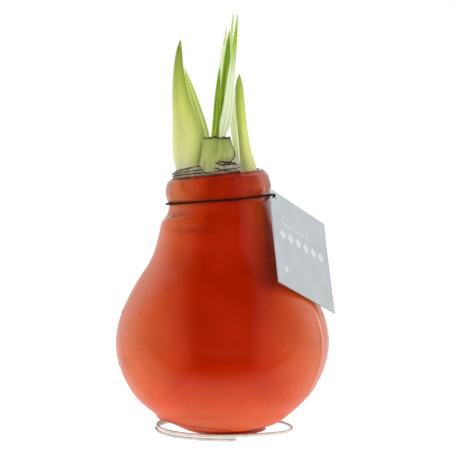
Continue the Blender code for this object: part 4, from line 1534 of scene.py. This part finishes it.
def card_mesh():
    """The square card with its hole and its rounded edges, at the origin."""
    curve = bpy.data.curves.new("card_outline", "CURVE")
    curve.dimensions = "2D"
    curve.fill_mode = "BOTH"
    curve.extrude = (TAG_THICKNESS / 2.0 - CARD_EDGE) * MM
    curve.bevel_depth = CARD_EDGE * MM
    curve.bevel_resolution = 1
    half = TAG_SIDE / 2.0 - CARD_EDGE
    flat_spline(curve, [(-half, -half), (half, -half), (half, half), (-half, half)])
    middle = TAG_HOLE_INSET - TAG_SIDE / 2.0
    radius = TAG_HOLE_RADIUS + CARD_EDGE
    turns = [-2.0 * math.pi * step / HOLE_STEPS for step in range(HOLE_STEPS)]
    flat_spline(curve, [
        (middle + radius * math.cos(angle), -middle + radius * math.sin(angle)) for angle in turns
    ])
    guide = bpy.data.objects.new("card_guide", curve)
    bpy.context.scene.collection.objects.link(guide)
    return plain_mesh(guide, weld=0.000001)


def make_card_material():
    """Matt card of a pale grey blue, with a faint paper grain."""
    material, tree, shader = new_material("grey_blue_card", {"Roughness": 0.6})
    drift = mottle_node(tree, 120.0, (0.62, 0.675, 0.695), (0.69, 0.745, 0.765))
    feed(tree, shader, {
        "Base Color": drift["Colour"],
        "Normal": bump_node(tree, grain_node(tree, 2500.0), 0.12, 0.0001),
    })
    return material


CARD = make_card_material()
card_shape = card_mesh()
card_shape.transform(CARD_PLACE)
card_shape.update()
card = add_object("card_tag", card_shape, CARD)
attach(card, "root")
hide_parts("tag")

# %% [markdown]
# ## The print
#
# Ink lies on the card, so the print is a very thin solid of its own on the card's face. A small tree
# repeats one diamond along a line, and three rows in different sizes make a plain pattern.

# %% Print row tree
PRINT_RISE = 0.02


def make_row_tree():
    """The tree that repeats a thin diamond along a line."""
    tree, given = new_group("diamond_row", "GeometryNodeTree", (
        ("Base", "Geometry"), ("Count", "Int", 6), ("Step", "Vector", (0.005, 0.0, 0.0)),
        ("Start", "Vector", (0.0, 0.0, 0.0)), ("Half Size", "Float", 0.002),
        ("Thickness", "Float", 0.00004), ("Finish", "Material"),
    ), (("Row", "Geometry"),))
    line = new_node(tree, "GeometryNodeMeshLine", mode="OFFSET")
    feed(tree, line, {"Count": given["Count"], "Start Location": given["Start"], "Offset": given["Step"]})
    diamond = new_node(tree, "GeometryNodeMeshCylinder", {
        "Vertices": 4, "Radius": given["Half Size"], "Depth": given["Thickness"],
    })
    spread = new_node(tree, "GeometryNodeInstanceOnPoints", {
        "Points": line.outputs[0], "Instance": diamond.outputs[0],
    })
    return finish_tree(tree, spread.outputs[0], given["Finish"])


ROW_TREE = make_row_tree()
print("row tree nodes", len(ROW_TREE.nodes))
PRINT_WHITE, tree, shader = new_material("print_white", {"Roughness": 0.5})
ink = mottle_node(tree, 900.0, (0.90, 0.90, 0.90), (0.97, 0.97, 0.97))
feed(tree, shader, {"Base Color": ink["Colour"]})

# %% Print
PRINT_Z = TAG_THICKNESS / 2.0 + PRINT_RISE / 2.0
# Count, first place, step, half size.
PRINT_ROWS = (
    (6, (-15.0, 2.5), (6.0, 0.0), 2.4),
    (9, (-14.0, 8.0), (2.6, 0.0), 0.7),
    (1, (-15.0, -14.0), (1.0, 0.0), 1.5),
)


def print_row(index, row):
    """One row of the print, laid on the card's face."""
    count, (x, y), (step_x, step_y), half = row
    source = add_object("print_source", bpy.data.meshes.new("print_source"))
    made = grown(
        source, ROW_TREE, "tag_print_%d" % (index + 1),
        Count=count, Step=(step_x * MM, step_y * MM, 0.0), Start=(x * MM, y * MM, PRINT_Z * MM),
        Half_Size=half * MM, Thickness=PRINT_RISE * MM, Finish=PRINT_WHITE,
    )
    made.data.transform(CARD_PLACE)
    made.data.shade_flat()
    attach(made, "root")
    return made


for index, row in enumerate(PRINT_ROWS):
    print_row(index, row)
print("tag at", tuple(round(value, 4) for value in CARD_PLACE.translation))
